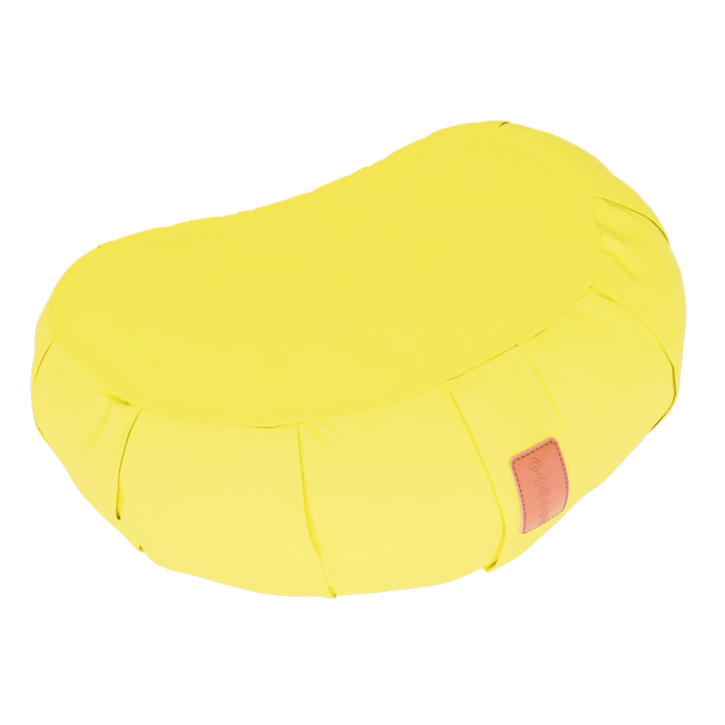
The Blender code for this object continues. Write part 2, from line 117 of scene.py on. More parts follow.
# The pleats of the side band. A fold that faces -1 has its free edge towards lower arcs. Each row of a
# path: drop, how far the fold has leaned along the band, how far its lip stands up, depth and half
# width of the narrow gap beside it, and how far the cloth it lies on dips (all but the drop in mm).
Pleat = namedtuple("Pleat", "arc faces dip_reach tucked path")
LEAN, LIP, GAP_DEPTH, GAP_WIDTH, DIP = range(1, 6)
PLEATS = (
    # arc, faces, reach of the dip in mm, depth of the cloth tucked under in mm, path
    Pleat(0.0780, -1, 13, 7, (
        (0.0, 0, 0.8, 0.8, 0.6, 0.4), (0.2, 1, 1.2, 1.4, 0.8, 1.2), (0.5, 3, 1.2, 1.6, 1.1, 2.0),
        (0.8, 2, 1.3, 2.4, 1.8, 2.6), (1.0, 0, 0.8, 1.0, 1.0, 1.6),
    )),
    Pleat(0.1780, -1, 12, 7, (
        (0.0, 0, 0.8, 0.8, 0.6, 0.4), (0.2, -1, 1.2, 1.4, 0.8, 1.2), (0.5, -2, 1.2, 1.6, 1.2, 1.8),
        (0.8, 1, 1.3, 2.2, 1.5, 2.4), (1.0, 2, 0.8, 1.0, 1.0, 1.6),
    )),
    Pleat(0.2790, 1, 13, 7, (
        (0.0, 0, 0.8, 0.8, 0.6, 0.4), (0.2, 0, 1.2, 1.4, 0.8, 1.2), (0.5, -2, 1.2, 1.6, 1.2, 2.0),
        (0.8, -3, 1.3, 2.2, 1.8, 2.4), (1.0, -3, 0.8, 1.0, 1.0, 1.6),
    )),
    Pleat(0.3790, 1, 13, 7, (
        (0.0, 0, 0.8, 0.8, 0.6, 0.4), (0.2, 1, 1.2, 1.4, 0.8, 1.2), (0.5, 3, 1.2, 1.6, 1.1, 2.0),
        (0.8, 4, 1.3, 2.2, 1.7, 2.6), (1.0, 3, 0.8, 1.0, 1.0, 1.6),
    )),
    Pleat(0.4760, 1, 12, 6, (
        (0.0, -1.5, 0.8, 1.2, 0.35, 0.2), (0.04, -1.5, 0.8, 1.2, 0.45, 0.3),
        (0.09, -1.5, 0.7, 1.0, 0.45, 0.3), (0.15, -1.5, 0.5, 0.6, 0.40, 0.2),
        (0.20, -1, 0.2, 0.02, 0.40, 0.1), (0.34, 3, 0.2, 0.02, 0.40, 0.1), (0.38, 5, 0.9, 1.6, 1.0, 0.6),
        (0.44, 7, 0.8, 1.2, 1.0, 0.6), (0.50, 7, 0.3, 0.1, 0.6, 0.5), (0.85, 8, 1.2, 2.2, 1.2, 2.0),
        (1.0, 8, 0.8, 1.0, 1.0, 1.6),
    )),
    Pleat(0.5715, 1, 10, 6, (
        (0.0, 0, 0.9, 1.9, 0.50, 0.2), (0.06, -3, 0.9, 1.8, 0.45, 0.3), (0.21, -6.8, 0.8, 1.5, 0.40, 0.4),
        (0.25, -7.2, 1.0, 2.0, 1.4, 0.6), (0.29, -8.2, 1.2, 3.2, 2.6, 0.9),
        (0.34, -10.5, 1.2, 3.2, 2.8, 0.9), (0.38, -12.5, 1.2, 2.8, 1.8, 0.9),
        (0.465, -16, 1.2, 2.6, 0.9, 0.9), (0.51, -18, 1.0, 2.0, 1.0, 0.8), (0.55, -19, 0.5, 1.3, 2.6, 0.4),
        (0.60, -19.5, 0.4, 1.5, 3.4, 0.4), (0.70, -21, 0.4, 1.8, 3.8, 0.4), (0.83, -28, 0.5, 2.0, 3.4, 0.4),
        (0.87, -31, 0.8, 3.2, 2.8, 0.5), (0.92, -34.5, 1.1, 4.2, 2.6, 0.6), (0.97, -36, 1.0, 3.6, 2.0, 0.6),
        (1.0, -38, 0.6, 1.0, 1.0, 1.0),
    )),
    Pleat(0.6700, 1, 7, 2.5, (
        (0.0, -0.5, 0.5, 1.0, 0.6, 0.2), (0.05, 0.0, 0.6, 1.5, 1.0, 0.3), (0.13, 0.0, 0.6, 1.9, 1.5, 0.3),
        (0.20, -0.6, 0.6, 2.2, 1.9, 0.3), (0.26, -0.6, 0.7, 2.8, 2.4, 0.3),
        (0.31, -0.4, 0.8, 3.4, 3.0, 0.4), (0.36, -0.1, 0.7, 2.6, 2.0, 0.4), (0.42, 0.7, 0.6, 2.2, 1.8, 0.5),
        (0.47, 1.0, 0.2, 0.6, 2.6, 0.4), (0.55, 0.0, 0.05, 0.4, 3.6, 0.4),
        (0.78, -3.5, 0.05, 0.4, 3.6, 0.4), (0.86, -4.4, 0.9, 3.0, 2.8, 0.8),
        (1.0, -4.0, 0.6, 1.0, 1.0, 1.0),
    )),
    Pleat(0.8055, -1, 10, 7, (
        (0.0, 0, 0.7, 1.4, 0.6, 0.0), (0.05, -0.5, 0.7, 1.5, 0.6, 0.0), (0.15, -2, 0.5, 1.7, 0.9, 0.0),
        (0.26, -3.5, 0.0, 2.1, 1.6, 0.0), (0.4, -4, -0.3, 2.0, 1.6, 0.0), (1.0, -4, -0.3, 2.0, 1.6, 0.0),
    )),
    Pleat(0.8685, -1, 10, 5, (
        (0.0, 0, 0.4, 0.6, 0.5, 0.2), (0.012, 0, 0.8, 2.8, 2.0, 0.8), (0.030, 0, 0.8, 2.0, 1.5, 0.6),
        (0.05, 0.5, 0.5, 0.2, 0.4, 0.3), (0.15, 2.0, 0.35, 0.05, 0.4, 0.3), (0.24, 2.4, 0.5, 0.2, 0.4, 0.4),
        (0.30, 3.0, 0.8, 0.9, 0.45, 0.5), (0.365, 4.6, 0.9, 1.4, 0.60, 0.6),
        (0.43, 3.4, 0.9, 2.2, 1.1, 0.6), (0.48, 3.4, 0.8, 1.0, 0.6, 0.8), (0.525, 5.2, 1.1, 2.4, 1.3, 1.0),
        (0.56, 3.0, 1.0, 1.6, 0.8, 1.0), (0.595, -4, 0.8, 0.8, 0.7, 1.0), (0.65, -6, 0.4, 0.1, 0.7, 1.0),
        (0.82, -6, 0.4, 0.1, 1.0, 1.4), (0.9, -6, 1.0, 1.6, 1.2, 1.8), (1.0, -5, 0.8, 1.0, 0.8, 1.6),
    )),
    Pleat(0.9520, -1, 12, 5, (
        (0.0, 0, 0.9, 1.6, 0.50, 0.2), (0.015, -2.0, 0.8, 1.8, 0.90, 0.2), (0.03, -3.8, 0.9, 2.2, 2.8, 0.3),
        (0.055, -5.2, 0.8, 1.8, 1.8, 0.3), (0.09, -6.5, 0.8, 0.9, 0.50, 0.3),
        (0.16, -6.5, 0.8, 0.8, 0.45, 0.4), (0.21, -6.2, 1.0, 1.6, 0.9, 0.6),
        (0.29, -5.5, 1.2, 2.6, 1.4, 0.9), (0.45, -6, 1.0, 1.2, 0.8, 1.4), (0.7, -7, 1.0, 1.2, 0.8, 2.0),
        (0.9, -8, 1.2, 2.0, 1.2, 2.2), (1.0, -8, 0.8, 1.0, 1.0, 1.6),
    )),
)
# The flap is sewn down at this one, and no fold shows there.
FLAP_PLEAT = PLEATS[7]
LIP_REACH = 15 * MM
FOLD_RADIUS = 0.62 * MM
LEAST_RADIUS = 0.08 * MM
LEAST_LIP_SHARE = 0.15
FOLD_SLIT = 0.1 * MM
FOLD_OPENS = (0.0, 0.03)
FOLD_RISES = (0.0, 0.035)
FOLD_FLATTENS = (0.93, 1.0)
FOLD_END = 0.98
LEAN_REACH = 0.0450

# The band's columns and rows of points.
EDGE_COLUMNS = 8
UPPER_PARTS = (0.3, 0.65, 0.95)
LOWER_PARTS = (1.0, 0.65, 0.3, 0.1)
TOP_OFFSETS = np.array([9.0, 6.2, 4.2, 2.8, 1.7]) * MM
BELOW_OFFSETS = np.array([0.25, 0.5, 0.8, 1.15, 1.6, 2.3, 3.2, 4.6, 6.6, 9.5]) * MM
COLUMN_PITCHES = (
    # from this arc on, distance between the band's columns
    (0.000, 0.0022), (0.405, 0.0014), (0.7475, 0.0005), (0.7640, 0.0014), (0.985, 0.0022),
)
FIRST_ROW_PITCH = 0.4 * MM
ROW_PITCH_GROWTH = 1.16
ROW_PITCH = 2.35 * MM
LAST_ROW_PITCH = 2.4 * MM

# Places where the band is fuller or slacker than its plain form.
SWELLS = (
    # arc, half width, drop, half height as a part of the drop, how far it stands out in mm
    (0.8700, 0.0090, 0.58, 0.14, 4.5),
    (0.8980, 0.0120, 0.45, 0.16, -2.6),
    (0.9170, 0.0090, 0.36, 0.14, -1.6),
    (0.9570, 0.0070, 0.23, 0.10, 1.0),
    (0.0100, 0.0100, 0.17, 0.10, -2.8),
    (0.1170, 0.0120, 0.08, 0.08, 1.2),
    (0.3120, 0.0150, 0.08, 0.08, 1.6),
    (0.4240, 0.0090, 0.09, 0.08, -1.8),
    (0.4500, 0.0100, 0.17, 0.12, -3.4),
    (0.4790, 0.0080, 0.36, 0.10, 1.6),
    (0.5040, 0.0160, 0.50, 0.20, -4.4),
    (0.5270, 0.0090, 0.72, 0.12, -3.4),
    (0.5520, 0.0150, 0.93, 0.14, 4.4),
    (0.6060, 0.0120, 0.95, 0.12, -0.8),
    (0.6650, 0.0050, 0.95, 0.10, 1.6),
    (0.7350, 0.0200, 0.93, 0.16, 3.8),
    (0.7700, 0.0160, 0.93, 0.14, 3.2),
    (0.8240, 0.0110, 0.92, 0.20, -4.2),
)
SWELL_STARTS = (0.0, 0.05)
PUFF = 1.4 * MM
PUFF_SPACING = 0.09
PUFF_MOST = 1.2
PUFF_STARTS = (0.0, 0.16)
RELIEF_ENDS = (0.95, 1.02)

# Uneven cloth with no pattern.
NOISE_WAVES = 28
NOISE_RANGE = 1.6
BAND_NOISE = (
    # height in mm, shortest and longest wave in metres, seed, stretch of drop where it starts
    (0.55, 0.055, 0.120, 3, (0.0, 0.12)),
    (0.13, 0.018, 0.040, 4, (0.0, 0.05)),
)
TOP_NOISE = (
    # height in mm, shortest and longest wave in metres, seed
    (0.50, 0.060, 0.130, 21),
    (0.10, 0.020, 0.045, 22),
)
TOP_NOISE_STARTS = (0.0, 30 * MM)

# Creases of the band: a soft trough from one place to another.
CREASES = (
    # arc and drop where it starts, arc and drop where it ends, half width in mm, depth in mm, bend in mm
    (0.6735, 0.000, 0.6925, 0.075, 1.9, 2.0, 0.8),
    (0.6855, 0.003, 0.6985, 0.055, 2.2, 1.0, 0.8),
    (0.6690, 0.100, 0.6690, 0.360, 2.8, 1.6, 0.0),
    (0.6720, 0.340, 0.6720, 0.560, 3.2, 1.4, 0.0),
    (0.6735, 0.300, 0.6900, 0.390, 3.4, 1.8, 0.0),
    (0.6705, 0.400, 0.6790, 0.500, 1.0, 1.8, 0.0),
    (0.6760, 0.470, 0.6730, 0.920, 3.0, 4.2, 0.0),
    (0.5385, 0.011, 0.5640, 0.001, 1.8, 6.5, 0.0),
    (0.5520, 0.004, 0.5700, 0.001, 0.9, 1.4, 0.0),
    (0.5450, 0.018, 0.5250, 0.230, 6.0, 3.2, 5.0),
    (0.5650, 0.030, 0.5440, 0.250, 3.4, 1.9, 4.0),
    (0.5580, 0.200, 0.5480, 0.420, 4.0, 1.3, 2.0),
    (0.5530, 0.520, 0.5400, 0.980, 3.6, 5.0, 0.0),
    (0.9030, 0.000, 0.9005, 0.055, 3.0, 3.4, 0.0),
    (0.9020, 0.022, 0.8930, 0.105, 5.0, 5.6, -0.8),
    (0.9340, 0.000, 0.9180, 0.085, 8.0, 5.0, 0.0),
    (0.8665, 0.140, 0.8650, 0.220, 2.6, 1.4, 0.0),
    (0.9455, 0.020, 0.9380, 0.200, 1.5, 1.2, 1.0),
    (0.9480, 0.004, 0.9300, 0.030, 2.0, 1.0, 0.0),
    (0.8800, 0.100, 0.8760, 0.300, 7.0, 1.4, 0.0),
    (0.8120, 0.060, 0.8240, 0.340, 7.0, 0.7, 3.0),
    (0.7990, 0.010, 0.7960, 0.120, 3.0, 0.6, 0.0),
    (0.6050, 0.000, 0.6030, 0.045, 2.0, 0.5, 0.0),
    (0.6220, 0.000, 0.6240, 0.060, 3.0, 0.4, 0.0),
    (0.6380, 0.000, 0.6330, 0.070, 3.5, 0.5, 0.0),
    (0.7200, 0.000, 0.7180, 0.080, 4.0, 0.4, 0.0),
    (0.8480, 0.000, 0.8560, 0.090, 4.0, 0.8, 0.0),
    (0.8350, 0.000, 0.8330, 0.070, 3.0, 0.5, 0.0),
    (0.4840, 0.010, 0.4980, 0.130, 4.0, 0.8, 0.0),
    (0.5080, 0.000, 0.5140, 0.120, 5.0, 0.7, 0.0),
    (0.0860, 0.004, 0.1000, 0.120, 3.0, 0.9, 1.5),
    (0.0700, 0.004, 0.0560, 0.140, 4.0, 1.1, 1.5),
    (0.1250, 0.002, 0.1320, 0.160, 6.0, 0.9, 0.0),
    (0.1860, 0.004, 0.2010, 0.130, 3.5, 1.1, 1.5),
    (0.1690, 0.004, 0.1540, 0.100, 3.0, 0.8, -1.5),
    (0.2230, 0.002, 0.2300, 0.180, 6.0, 0.8, 0.0),
    (0.2710, 0.004, 0.2560, 0.120, 3.5, 1.1, 1.5),
    (0.2880, 0.004, 0.3010, 0.090, 3.0, 0.7, 0.0),
    (0.3300, 0.002, 0.3230, 0.170, 6.0, 0.9, 0.0),
    (0.3870, 0.004, 0.4010, 0.130, 3.5, 1.1, 1.5),
    (0.3700, 0.004, 0.3580, 0.090, 3.0, 0.7, 0.0),
    (0.4300, 0.002, 0.4360, 0.160, 6.0, 0.9, 0.0),
    (0.0200, 0.002, 0.0140, 0.150, 6.0, 1.0, 0.0),
    (0.0480, 0.002, 0.0420, 0.110, 5.0, 0.7, 0.0),
    (0.9640, 0.004, 0.9760, 0.120, 4.0, 0.9, 0.0),
    (0.1100, 0.420, 0.1030, 0.760, 8.0, 0.9, 3.0),
    (0.2400, 0.380, 0.2460, 0.740, 8.0, 0.9, -3.0),
    (0.3420, 0.450, 0.3490, 0.800, 7.0, 0.9, 3.0),
    (0.4430, 0.500, 0.4370, 0.820, 7.0, 0.9, -3.0),
    (0.6130, 0.620, 0.6200, 0.880, 7.0, 0.8, 3.0),
    (0.7230, 0.600, 0.7160, 0.880, 7.0, 0.8, 3.0),
    (0.8360, 0.560, 0.8440, 0.860, 7.0, 0.9, 3.0),
    (0.0240, 0.500, 0.0160, 0.820, 8.0, 0.9, 3.0),
)
RIDGES = (
    # the same for soft ridges
    (0.5550, 0.012, 0.5330, 0.250, 4.0, 1.8, 5.0),
    (0.9130, 0.000, 0.9070, 0.060, 3.4, 2.4, -1.0),
    (0.6785, 0.004, 0.6950, 0.070, 1.8, 0.9, 1.5),
    (0.9400, 0.030, 0.9290, 0.160, 4.0, 1.2, 0.0),
)
CREASE_STARTS = (-0.12, 0.10)
CREASE_ENDS = (0.45, 1.12)

# Places where the band pulls in under the seam.
SEAM_TUCKS = (
    # arc, half length, depth and reach down the band in mm
    (0.6530, 12, 1.7, 1.3),
    (0.7430, 3, 0.6, 1.1),
    (0.7640, 8, 0.9, 2.4),
    (0.7900, 14, 0.4, 1.3),
    (0.8205, 6, 1.6, 3.6),
    (0.8300, 5, 0.9, 2.0),
    (0.8590, 6, 0.9, 1.8),
    (0.8700, 4, 0.8, 1.4),
)
SEAM_GROOVE_WIDTH = 0.95 * MM
PUCKER = 0.16 * MM
PUCKER_REACH = 9 * MM
PUCKER_SEED = 11
PUCKER_WAVES = 14
PUCKER_LENGTHS = (7, 19)
PUCKER_RANGE = 3.2
PUCKER_PATCHES = 9
GROOVE_OFFSET = 0.2
FOOT_PUCKER = 0.35
FOOT_PUCKER_STARTS = (1.0, 1.05)

# The overlapping end of the band, called the flap. Its free edge is on the left, and its right side is
# sewn down at a pleat.
EDGE_ARC, EDGE_LIFT = range(1, 3)
FLAP_EDGE_PATH = (
    # drop, arc of the free edge, how far that edge lifts in mm
    (0.0, 0.7562, 0.3), (0.03, 0.7568, 0.7), (0.12, 0.7580, 0.4), (0.34, 0.7591, 0.4), (0.51, 0.7604, 0.8),
    (0.62, 0.7601, 0.8), (0.72, 0.7595, 1.0), (0.82, 0.7585, 1.5), (0.90, 0.7568, 2.4), (1.0, 0.7505, 1.8),
)
FLAP_UNDER = 2.5 * MM
FLAP_TOP_DROP = 0.0015
FLAP_FOOT_DROP = 0.972
FLAP_EDGE_OFFSETS = np.array([0.0, 0.04, 0.12, 0.28, 0.5, 0.8, 1.2, 1.9, 3.0]) * MM
FLAP_COLUMNS = 44
FLAP_SEWN_SIDE = (0.1, 0.9)
FLAP_THIN = 0.35
FLAP_THICKENS = (0.0, 0.045)
FLAP_SEAM_SINK = (0.004, 0.05)
FLAP_HEM = (6 * MM, 8 * MM)
HEM_EXTRA = 0.15
# At its round edges the flap's inner face stops just short of the outer one.
FLAP_INNER_SHARE = 0.98
FLAP_FOOT_SLACK = 0.001 * MM
# The stretch across the flap where the band sinks to take it, its own last column of points included.
FLAP_SEAT_PARTS = (-0.5, 1.0 + 1e-9)
# The band's dip beside the free edge.
FLAP_GAP = 1.6 * MM
FLAP_GAP_REACH = 1.0 * MM
FLAP_GAP_STARTS = (0.0, 0.02)
FLAP_GAP_DEEPENS = (0.2, 0.6)
FLAP_GAP_ENDS = (0.78, 0.93)
# The thin furrow at the sewn side, near the top.
FURROW = 0.5 * MM
FURROW_REACH = 0.9 * MM
FURROW_SIDE = (0.6, 0.9)
FURROW_ENDS = (0.10, 0.26)

# The rings of the two panels. Insets are from the seam.
TOP_COLUMNS = 520
TOP_RING_INSETS = np.array([0.05, 0.25, 0.55, 0.9, 1.4, 2.0, 2.8, 3.9, 5.4, 7.4, 9.8]) * MM
TOP_INNER_PARTS = np.linspace(0.10, 0.985, 34)
TOP_EDGE_SHARE = 0.55
TOP_UNDER_INSET = 1.0 * MM
BOTTOM_INSET = 0.5 * MM
BOTTOM_PARTS = (0.12, 0.3, 0.6, 0.94)
BOTTOM_EDGE = (
    # inset in mm and height as a part of the cloth, from the upper face round to the floor
    (3.0, 1.0), (1.0, 1.0), (0.5, 0.75), (0.4, 0.45), (0.6, 0.2), (1.2, 0.06), (2.6, 0.0),
)
BOTTOM_WAVER = 0.15 * MM
BOTTOM_WAVER_BELOW = 0.3

# The leather patch. Its rows of points lie a little closer together at its ends.
PATCH_ARC = 0.7814
PATCH_DROP = 0.410
PATCH_LENGTH = 0.0635
PATCH_WIDTH = 0.0340
PATCH_CORNER = 0.0050
PATCH_TURN = math.radians(2.0)
PATCH_SKEW = 0.075
PATCH_PITCH = 0.36 * MM
PATCH_ROWS_EASED = 0.10
PATCH_EDGE_RADIUS = 0.7 * MM
PATCH_EDGE_SHARE = 0.65
PATCH_DOME = 0.35 * MM
PATCH_DOME_RISES = (2 * MM, 9 * MM)
PATCH_RIM = (0.2 * MM, 0.9 * MM)
STITCH_INSET = 2.1 * MM
STITCH_PITCH = 3.3 * MM
STITCH_LENGTH = 2.5 * MM
THREAD = 0.62 * MM
STITCH_RINGS = 9
STITCH_SIDES = 8
STITCH_SUNK = 0.30
STITCH_ARCH = 0.62
STITCH_TIP = 0.12
GROOVE_DEPTH = 0.22 * MM
GROOVE_HALF_WIDTH = 0.55 * MM
GROOVE_SHADE = 0.45
DIAMOND = 4.6 * MM
DIAMOND_COUNT = 6
DIAMOND_SIZES = (0.94, 0.40)
MARKS_MIDDLE = -1.8 * MM
MARKS_INSET = STITCH_INSET + 2 * MM
MARK = 0.36 * MM
MARK_DEPTH = 0.34 * MM

# The photograph's view: a pinhole camera aimed at a point inside the cushion.
VIEW_AZIMUTH = 1.753
VIEW_ELEVATION = 46.907
VIEW_ROLL = -13.884
VIEW_DISTANCE = 0.7185
VIEW_TARGET = Vector((0.00197, 0.01406, 0.0553))
SENSOR = 36.0
FRAME_PIXELS = 725
FOCAL_PIXELS = 1001.4

# Colours.
YELLOW = (0.870, 0.830, 0.092, 1.0)
# The deep yellow serves both the cloth's mottle and the painted shade in its weave's low places.
YELLOW_MOTTLE_AND_SHADE = (0.845, 0.800, 0.066, 1.0)
TAN = (0.545, 0.178, 0.052, 1.0)
TAN_DEEP = (0.370, 0.092, 0.032, 1.0)
TAN_PALE = (0.620, 0.330, 0.240, 1.0)
BROWN = (0.110, 0.035, 0.020, 1.0)
FLOOR_GREY = (0.1, 0.1, 0.1, 1.0)
PURE_WHITE = (1.0, 1.0, 1.0, 1.0)

# The textures of cotton, leather and thread. A scale is how many times a pattern fits in a metre.
THREAD_PITCH = 0.52 * MM
THREAD_HEIGHT = 0.18 * MM
SLUB_SCALE = 1700.0
WRINKLE_SCALE = 90.0
WRINKLE_HEIGHT = 1.2 * MM
MOTTLE_SCALE = 26.0
GRAIN_SCALE = 1500.0
GRAIN_HEIGHT = 0.12 * MM
PORE_SCALE = 2600.0
PATCHES_SCALE = 90.0
HIDE_SWELL_SCALE = 160.0
HIDE_SWELL_HEIGHT = 0.6 * MM
THREAD_LAY = 0.9 * MM
STRAND_HEIGHT = 0.1 * MM

# Light, and the floor that glows so that it stays white.
FLOOR_REACH = 12.0
FLOOR_LEVEL = -0.2 * MM
FLOOR_LIGHT = 1.21
HORIZON_LIGHT = 1.26
ZENITH_LIGHT = 0.75
SIDES_DIMMER = 0.80
SOFTBOX_PLACE = Vector((-0.45, -1.80, 1.45))
SOFTBOX_SIZE = 1.1
SOFTBOX_WATTS = 26.0
SOFTBOX_AIM = Vector((0.0, 0.0, 0.08))
WHITE = 1.28
TONES = (
    # scene light and the display light that it gives, for red, green and blue
    ((0.20, 0.27), (0.50, 0.64), (0.72, 0.865), (0.88, 0.907), (1.00, 0.919), (1.12, 0.931),
     (1.20, 0.938), (1.25, 0.952)),
    ((0.195, 0.24), (0.48, 0.565), (0.69, 0.765), (0.84, 0.805), (0.95, 0.817), (1.06, 0.828),
     (1.14, 0.840), (1.20, 0.856)),
    ((0.05, 0.040), (0.075, 0.070), (0.090, 0.105), (0.108, 0.165), (0.122, 0.198), (0.16, 0.222),
     (0.30, 0.36)),
)


def fade_in(stretch, value):
    """0 before a stretch, 1 after it and an even ease between."""
    start, end = stretch
    part = np.clip((value - start) / (end - start), 0.0, 1.0)
    return part * part * (3.0 - 2.0 * part)


def fade_out(stretch, value):
    """1 before a stretch and 0 after it."""
    return 1.0 - fade_in(stretch, value)


def seam_plan(angle):
    """Plan position of the top seam, before the box is centred."""
    x = sum(xc * np.cos(n * angle) + xs * np.sin(n * angle) for n, xc, xs, yc, ys in SEAM_WAVES)
    y = sum(yc * np.cos(n * angle) + ys * np.sin(n * angle) for n, xc, xs, yc, ys in SEAM_WAVES)
    return np.stack([x, y], -1)


def distances_along(points):
    """Distance along a line of points, from the first to each of them."""
    return np.concatenate([[0.0], np.cumsum(np.linalg.norm(np.diff(points, axis=0), axis=1))])


SEAM_ANGLES = np.linspace(0.0, math.tau, SEAM_STEPS + 1)
SEAM_ARCS = distances_along(seam_plan(SEAM_ANGLES))
SEAM_LENGTH = SEAM_ARCS[-1]
PULL_ARCS = np.linspace(0.0, SEAM_LENGTH, PULL_STEPS + 1)
PATH_DROPS = np.linspace(-0.1, 1.3, PATH_STEPS + 1)


def arc_gap(arc, place):
    """Signed distance from a place to an arc, the short way round."""
    return np.mod(arc - place + SEAM_LENGTH / 2, SEAM_LENGTH) - SEAM_LENGTH / 2


def softened(values, outside):
    """A row of numbers with its corners eased. Outside says what np.pad puts past its ends."""
    window = np.hanning(SOFTENING)
    window /= window.sum()
    return np.convolve(np.pad(values, SOFTENING // 2, mode=outside), window, mode="valid")


def pull_table(column):
    """One column of the seam's pulls at even arcs, in metres."""
    arcs = [row[0] for row in SEAM_PULLS]
    values = np.interp(PULL_ARCS, arcs, [row[column] * MM for row in SEAM_PULLS], period=SEAM_LENGTH)
    return softened(values, "wrap")


PULL_TABLE = pull_table(1)
GROOVE_TABLE = pull_table(2)


def path_column(path, column, drop):
    """One column of a path at any drop."""
    rows = np.array([[row[0], row[column]] for row in path])
    values = softened(np.interp(PATH_DROPS, rows[:, 0], rows[:, 1]), "edge")
    return np.interp(drop, PATH_DROPS, values)


def fold_size(pleat, column, drop):
    """The same for a pleat's path, in metres."""
    return path_column(pleat.path, column, drop) * MM


def seam_pull(arc):
    """How far the top seam stands out from its plain curve."""
    return np.interp(np.mod(arc, SEAM_LENGTH), PULL_ARCS, PULL_TABLE)


def seam_frame(arc):
    """Seam points, their outward directions in plan and the formula's angles."""
    angle = np.interp(np.mod(arc, SEAM_LENGTH), SEAM_ARCS, SEAM_ANGLES)
    step = 1e-4
    along = seam_plan(angle + step) - seam_plan(angle - step)
    outward = np.stack([along[..., 1], -along[..., 0]], -1)
    outward /= np.linalg.norm(outward, axis=-1, keepdims=True)
    return seam_plan(angle) - BOX_CENTRE + outward * seam_pull(arc)[..., None], outward, angle


def profile(angle, drop):
    """Outward reach and height of the plain side band."""
    back = fade_in((-BACK_BLEND, BACK_BLEND), np.sin(angle))
    bulge = BULGE + BULGE_RIGHT * np.cos(angle) - BULGE_FRONT * np.sin(angle)
    bulge = bulge + BULGE_ENDS * np.cos(2.0 * angle)
    rise = BULGE_RISE + (BULGE_RISE_BACK - BULGE_RISE) * back
    spread = FOOT_SPREAD + (FOOT_SPREAD_BACK - FOOT_SPREAD) * back
    swell = np.maximum(np.sin(math.pi * drop ** rise), 0.0) ** BULGE_SHAPE
    return bulge * swell + spread * drop, SEAM_HEIGHT * (1.0 - drop)


def rounded_profile(angle, drop):
    """The same, with the foot rounded onto the floor. Past 1 the drop runs in under the cushion."""
    reach, height = profile(angle, np.minimum(drop, FOOT_START))
    corner = profile(angle, np.ones_like(drop))[0]
    part = np.clip((drop - FOOT_START) / (1.0 - FOOT_START), 0.0, 1.0)
    inner = corner - FOOT_INWARD
    round_reach = reach * (1 - part) ** 2 + 2 * corner * part * (1 - part) + inner * part ** 2
    round_height = height * (1 - part) ** 2
    under = np.clip((drop - 1.0) / (FLOOR_DROP - 1.0), 0.0, 1.0)
    return round_reach * (1 - under), round_height


def band_profile(arc, angle, drop):
    """The same, measured from the seam where the cloth draws it."""
    reach, height = rounded_profile(angle, drop)
    eased = fade_in((0.0, PULL_REACH), drop) - fade_in((1.0, FLOOR_DROP), drop)
    return reach - seam_pull(arc) * eased, height


def wall(arc, drop, lift=0.0):
    """Points on the side band, lifted off it along its own outward direction."""
    arc, drop, lift = np.broadcast_arrays(np.asarray(arc, float), drop, lift)
    seam, outward, angle = seam_frame(arc)
    step = 0.002
    reach, height = band_profile(arc, angle, drop)
    reach_above, height_above = band_profile(arc, angle, np.maximum(drop - step, 0.0))
    reach_below, height_below = band_profile(arc, angle, drop + step)
    slope = np.stack([height_above - height_below, reach_below - reach_above], -1)
    slope /= np.linalg.norm(slope, axis=-1, keepdims=True)
    plan = seam + outward * (reach + lift * slope[..., 0])[..., None]
    return np.concatenate([plan, (height + lift * slope[..., 1])[..., None]], -1)


DROP_TABLE = np.linspace(0.0, FLOOR_DROP, DROP_STEPS + 1)
RUN_TABLE = distances_along(wall(FRONT_ARC, DROP_TABLE))


def run_at(drop):
    """Distance down the band at a drop, as measured at the front."""
    return np.interp(drop, DROP_TABLE, RUN_TABLE)


def soft_noise(points, low, high, seed):
    """Sum of plane waves with lengths between low and high: an even swell with no grid, near -1 to 1."""
    rng = np.random.default_rng(seed)
    total = np.zeros(points.shape[:-1])
    for _ in range(NOISE_WAVES):
        direction = rng.normal(size=3)
        direction /= np.linalg.norm(direction)
        length = low * (high / low) ** rng.random()
        phase = rng.random() * math.tau
        total += np.sin(points @ direction * (math.tau / length) + phase)
    return total / math.sqrt(NOISE_WAVES / 2) / NOISE_RANGE


def seam_pucker(arc):
    """Small in and out of the cloth along a seam, near -1 to 1."""
    rng = np.random.default_rng(PUCKER_SEED)
    turn = math.tau * np.asarray(arc) / SEAM_LENGTH
    total = np.zeros(np.shape(arc))
    for _ in range(PUCKER_WAVES):
        count = round(SEAM_LENGTH / (rng.uniform(*PUCKER_LENGTHS) * MM))
        total += np.sin(count * turn + rng.random() * math.tau)
    patches = 0.55 + 0.45 * np.sin(PUCKER_PATCHES * turn + 1.0)
    return total / PUCKER_RANGE * patches


def seam_groove(arc, distance):
    """Depth of the groove that the seam draws into the cloth on either side of it."""
    depth = np.interp(np.mod(arc, SEAM_LENGTH), PULL_ARCS, GROOVE_TABLE)
    drawn_in = 1.0 + 0.50 * np.clip(seam_pucker(np.asarray(arc) + GROOVE_OFFSET), -1.0, 1.0)
    return depth * drawn_in * np.exp(-(distance / SEAM_GROOVE_WIDTH) ** 1.4)


def seam_relief(arc, distance):
    """Height of the cloth near the top seam, from its groove and puckers."""
    return PUCKER * seam_pucker(arc) * np.exp(-distance / PUCKER_REACH) - seam_groove(arc, distance)


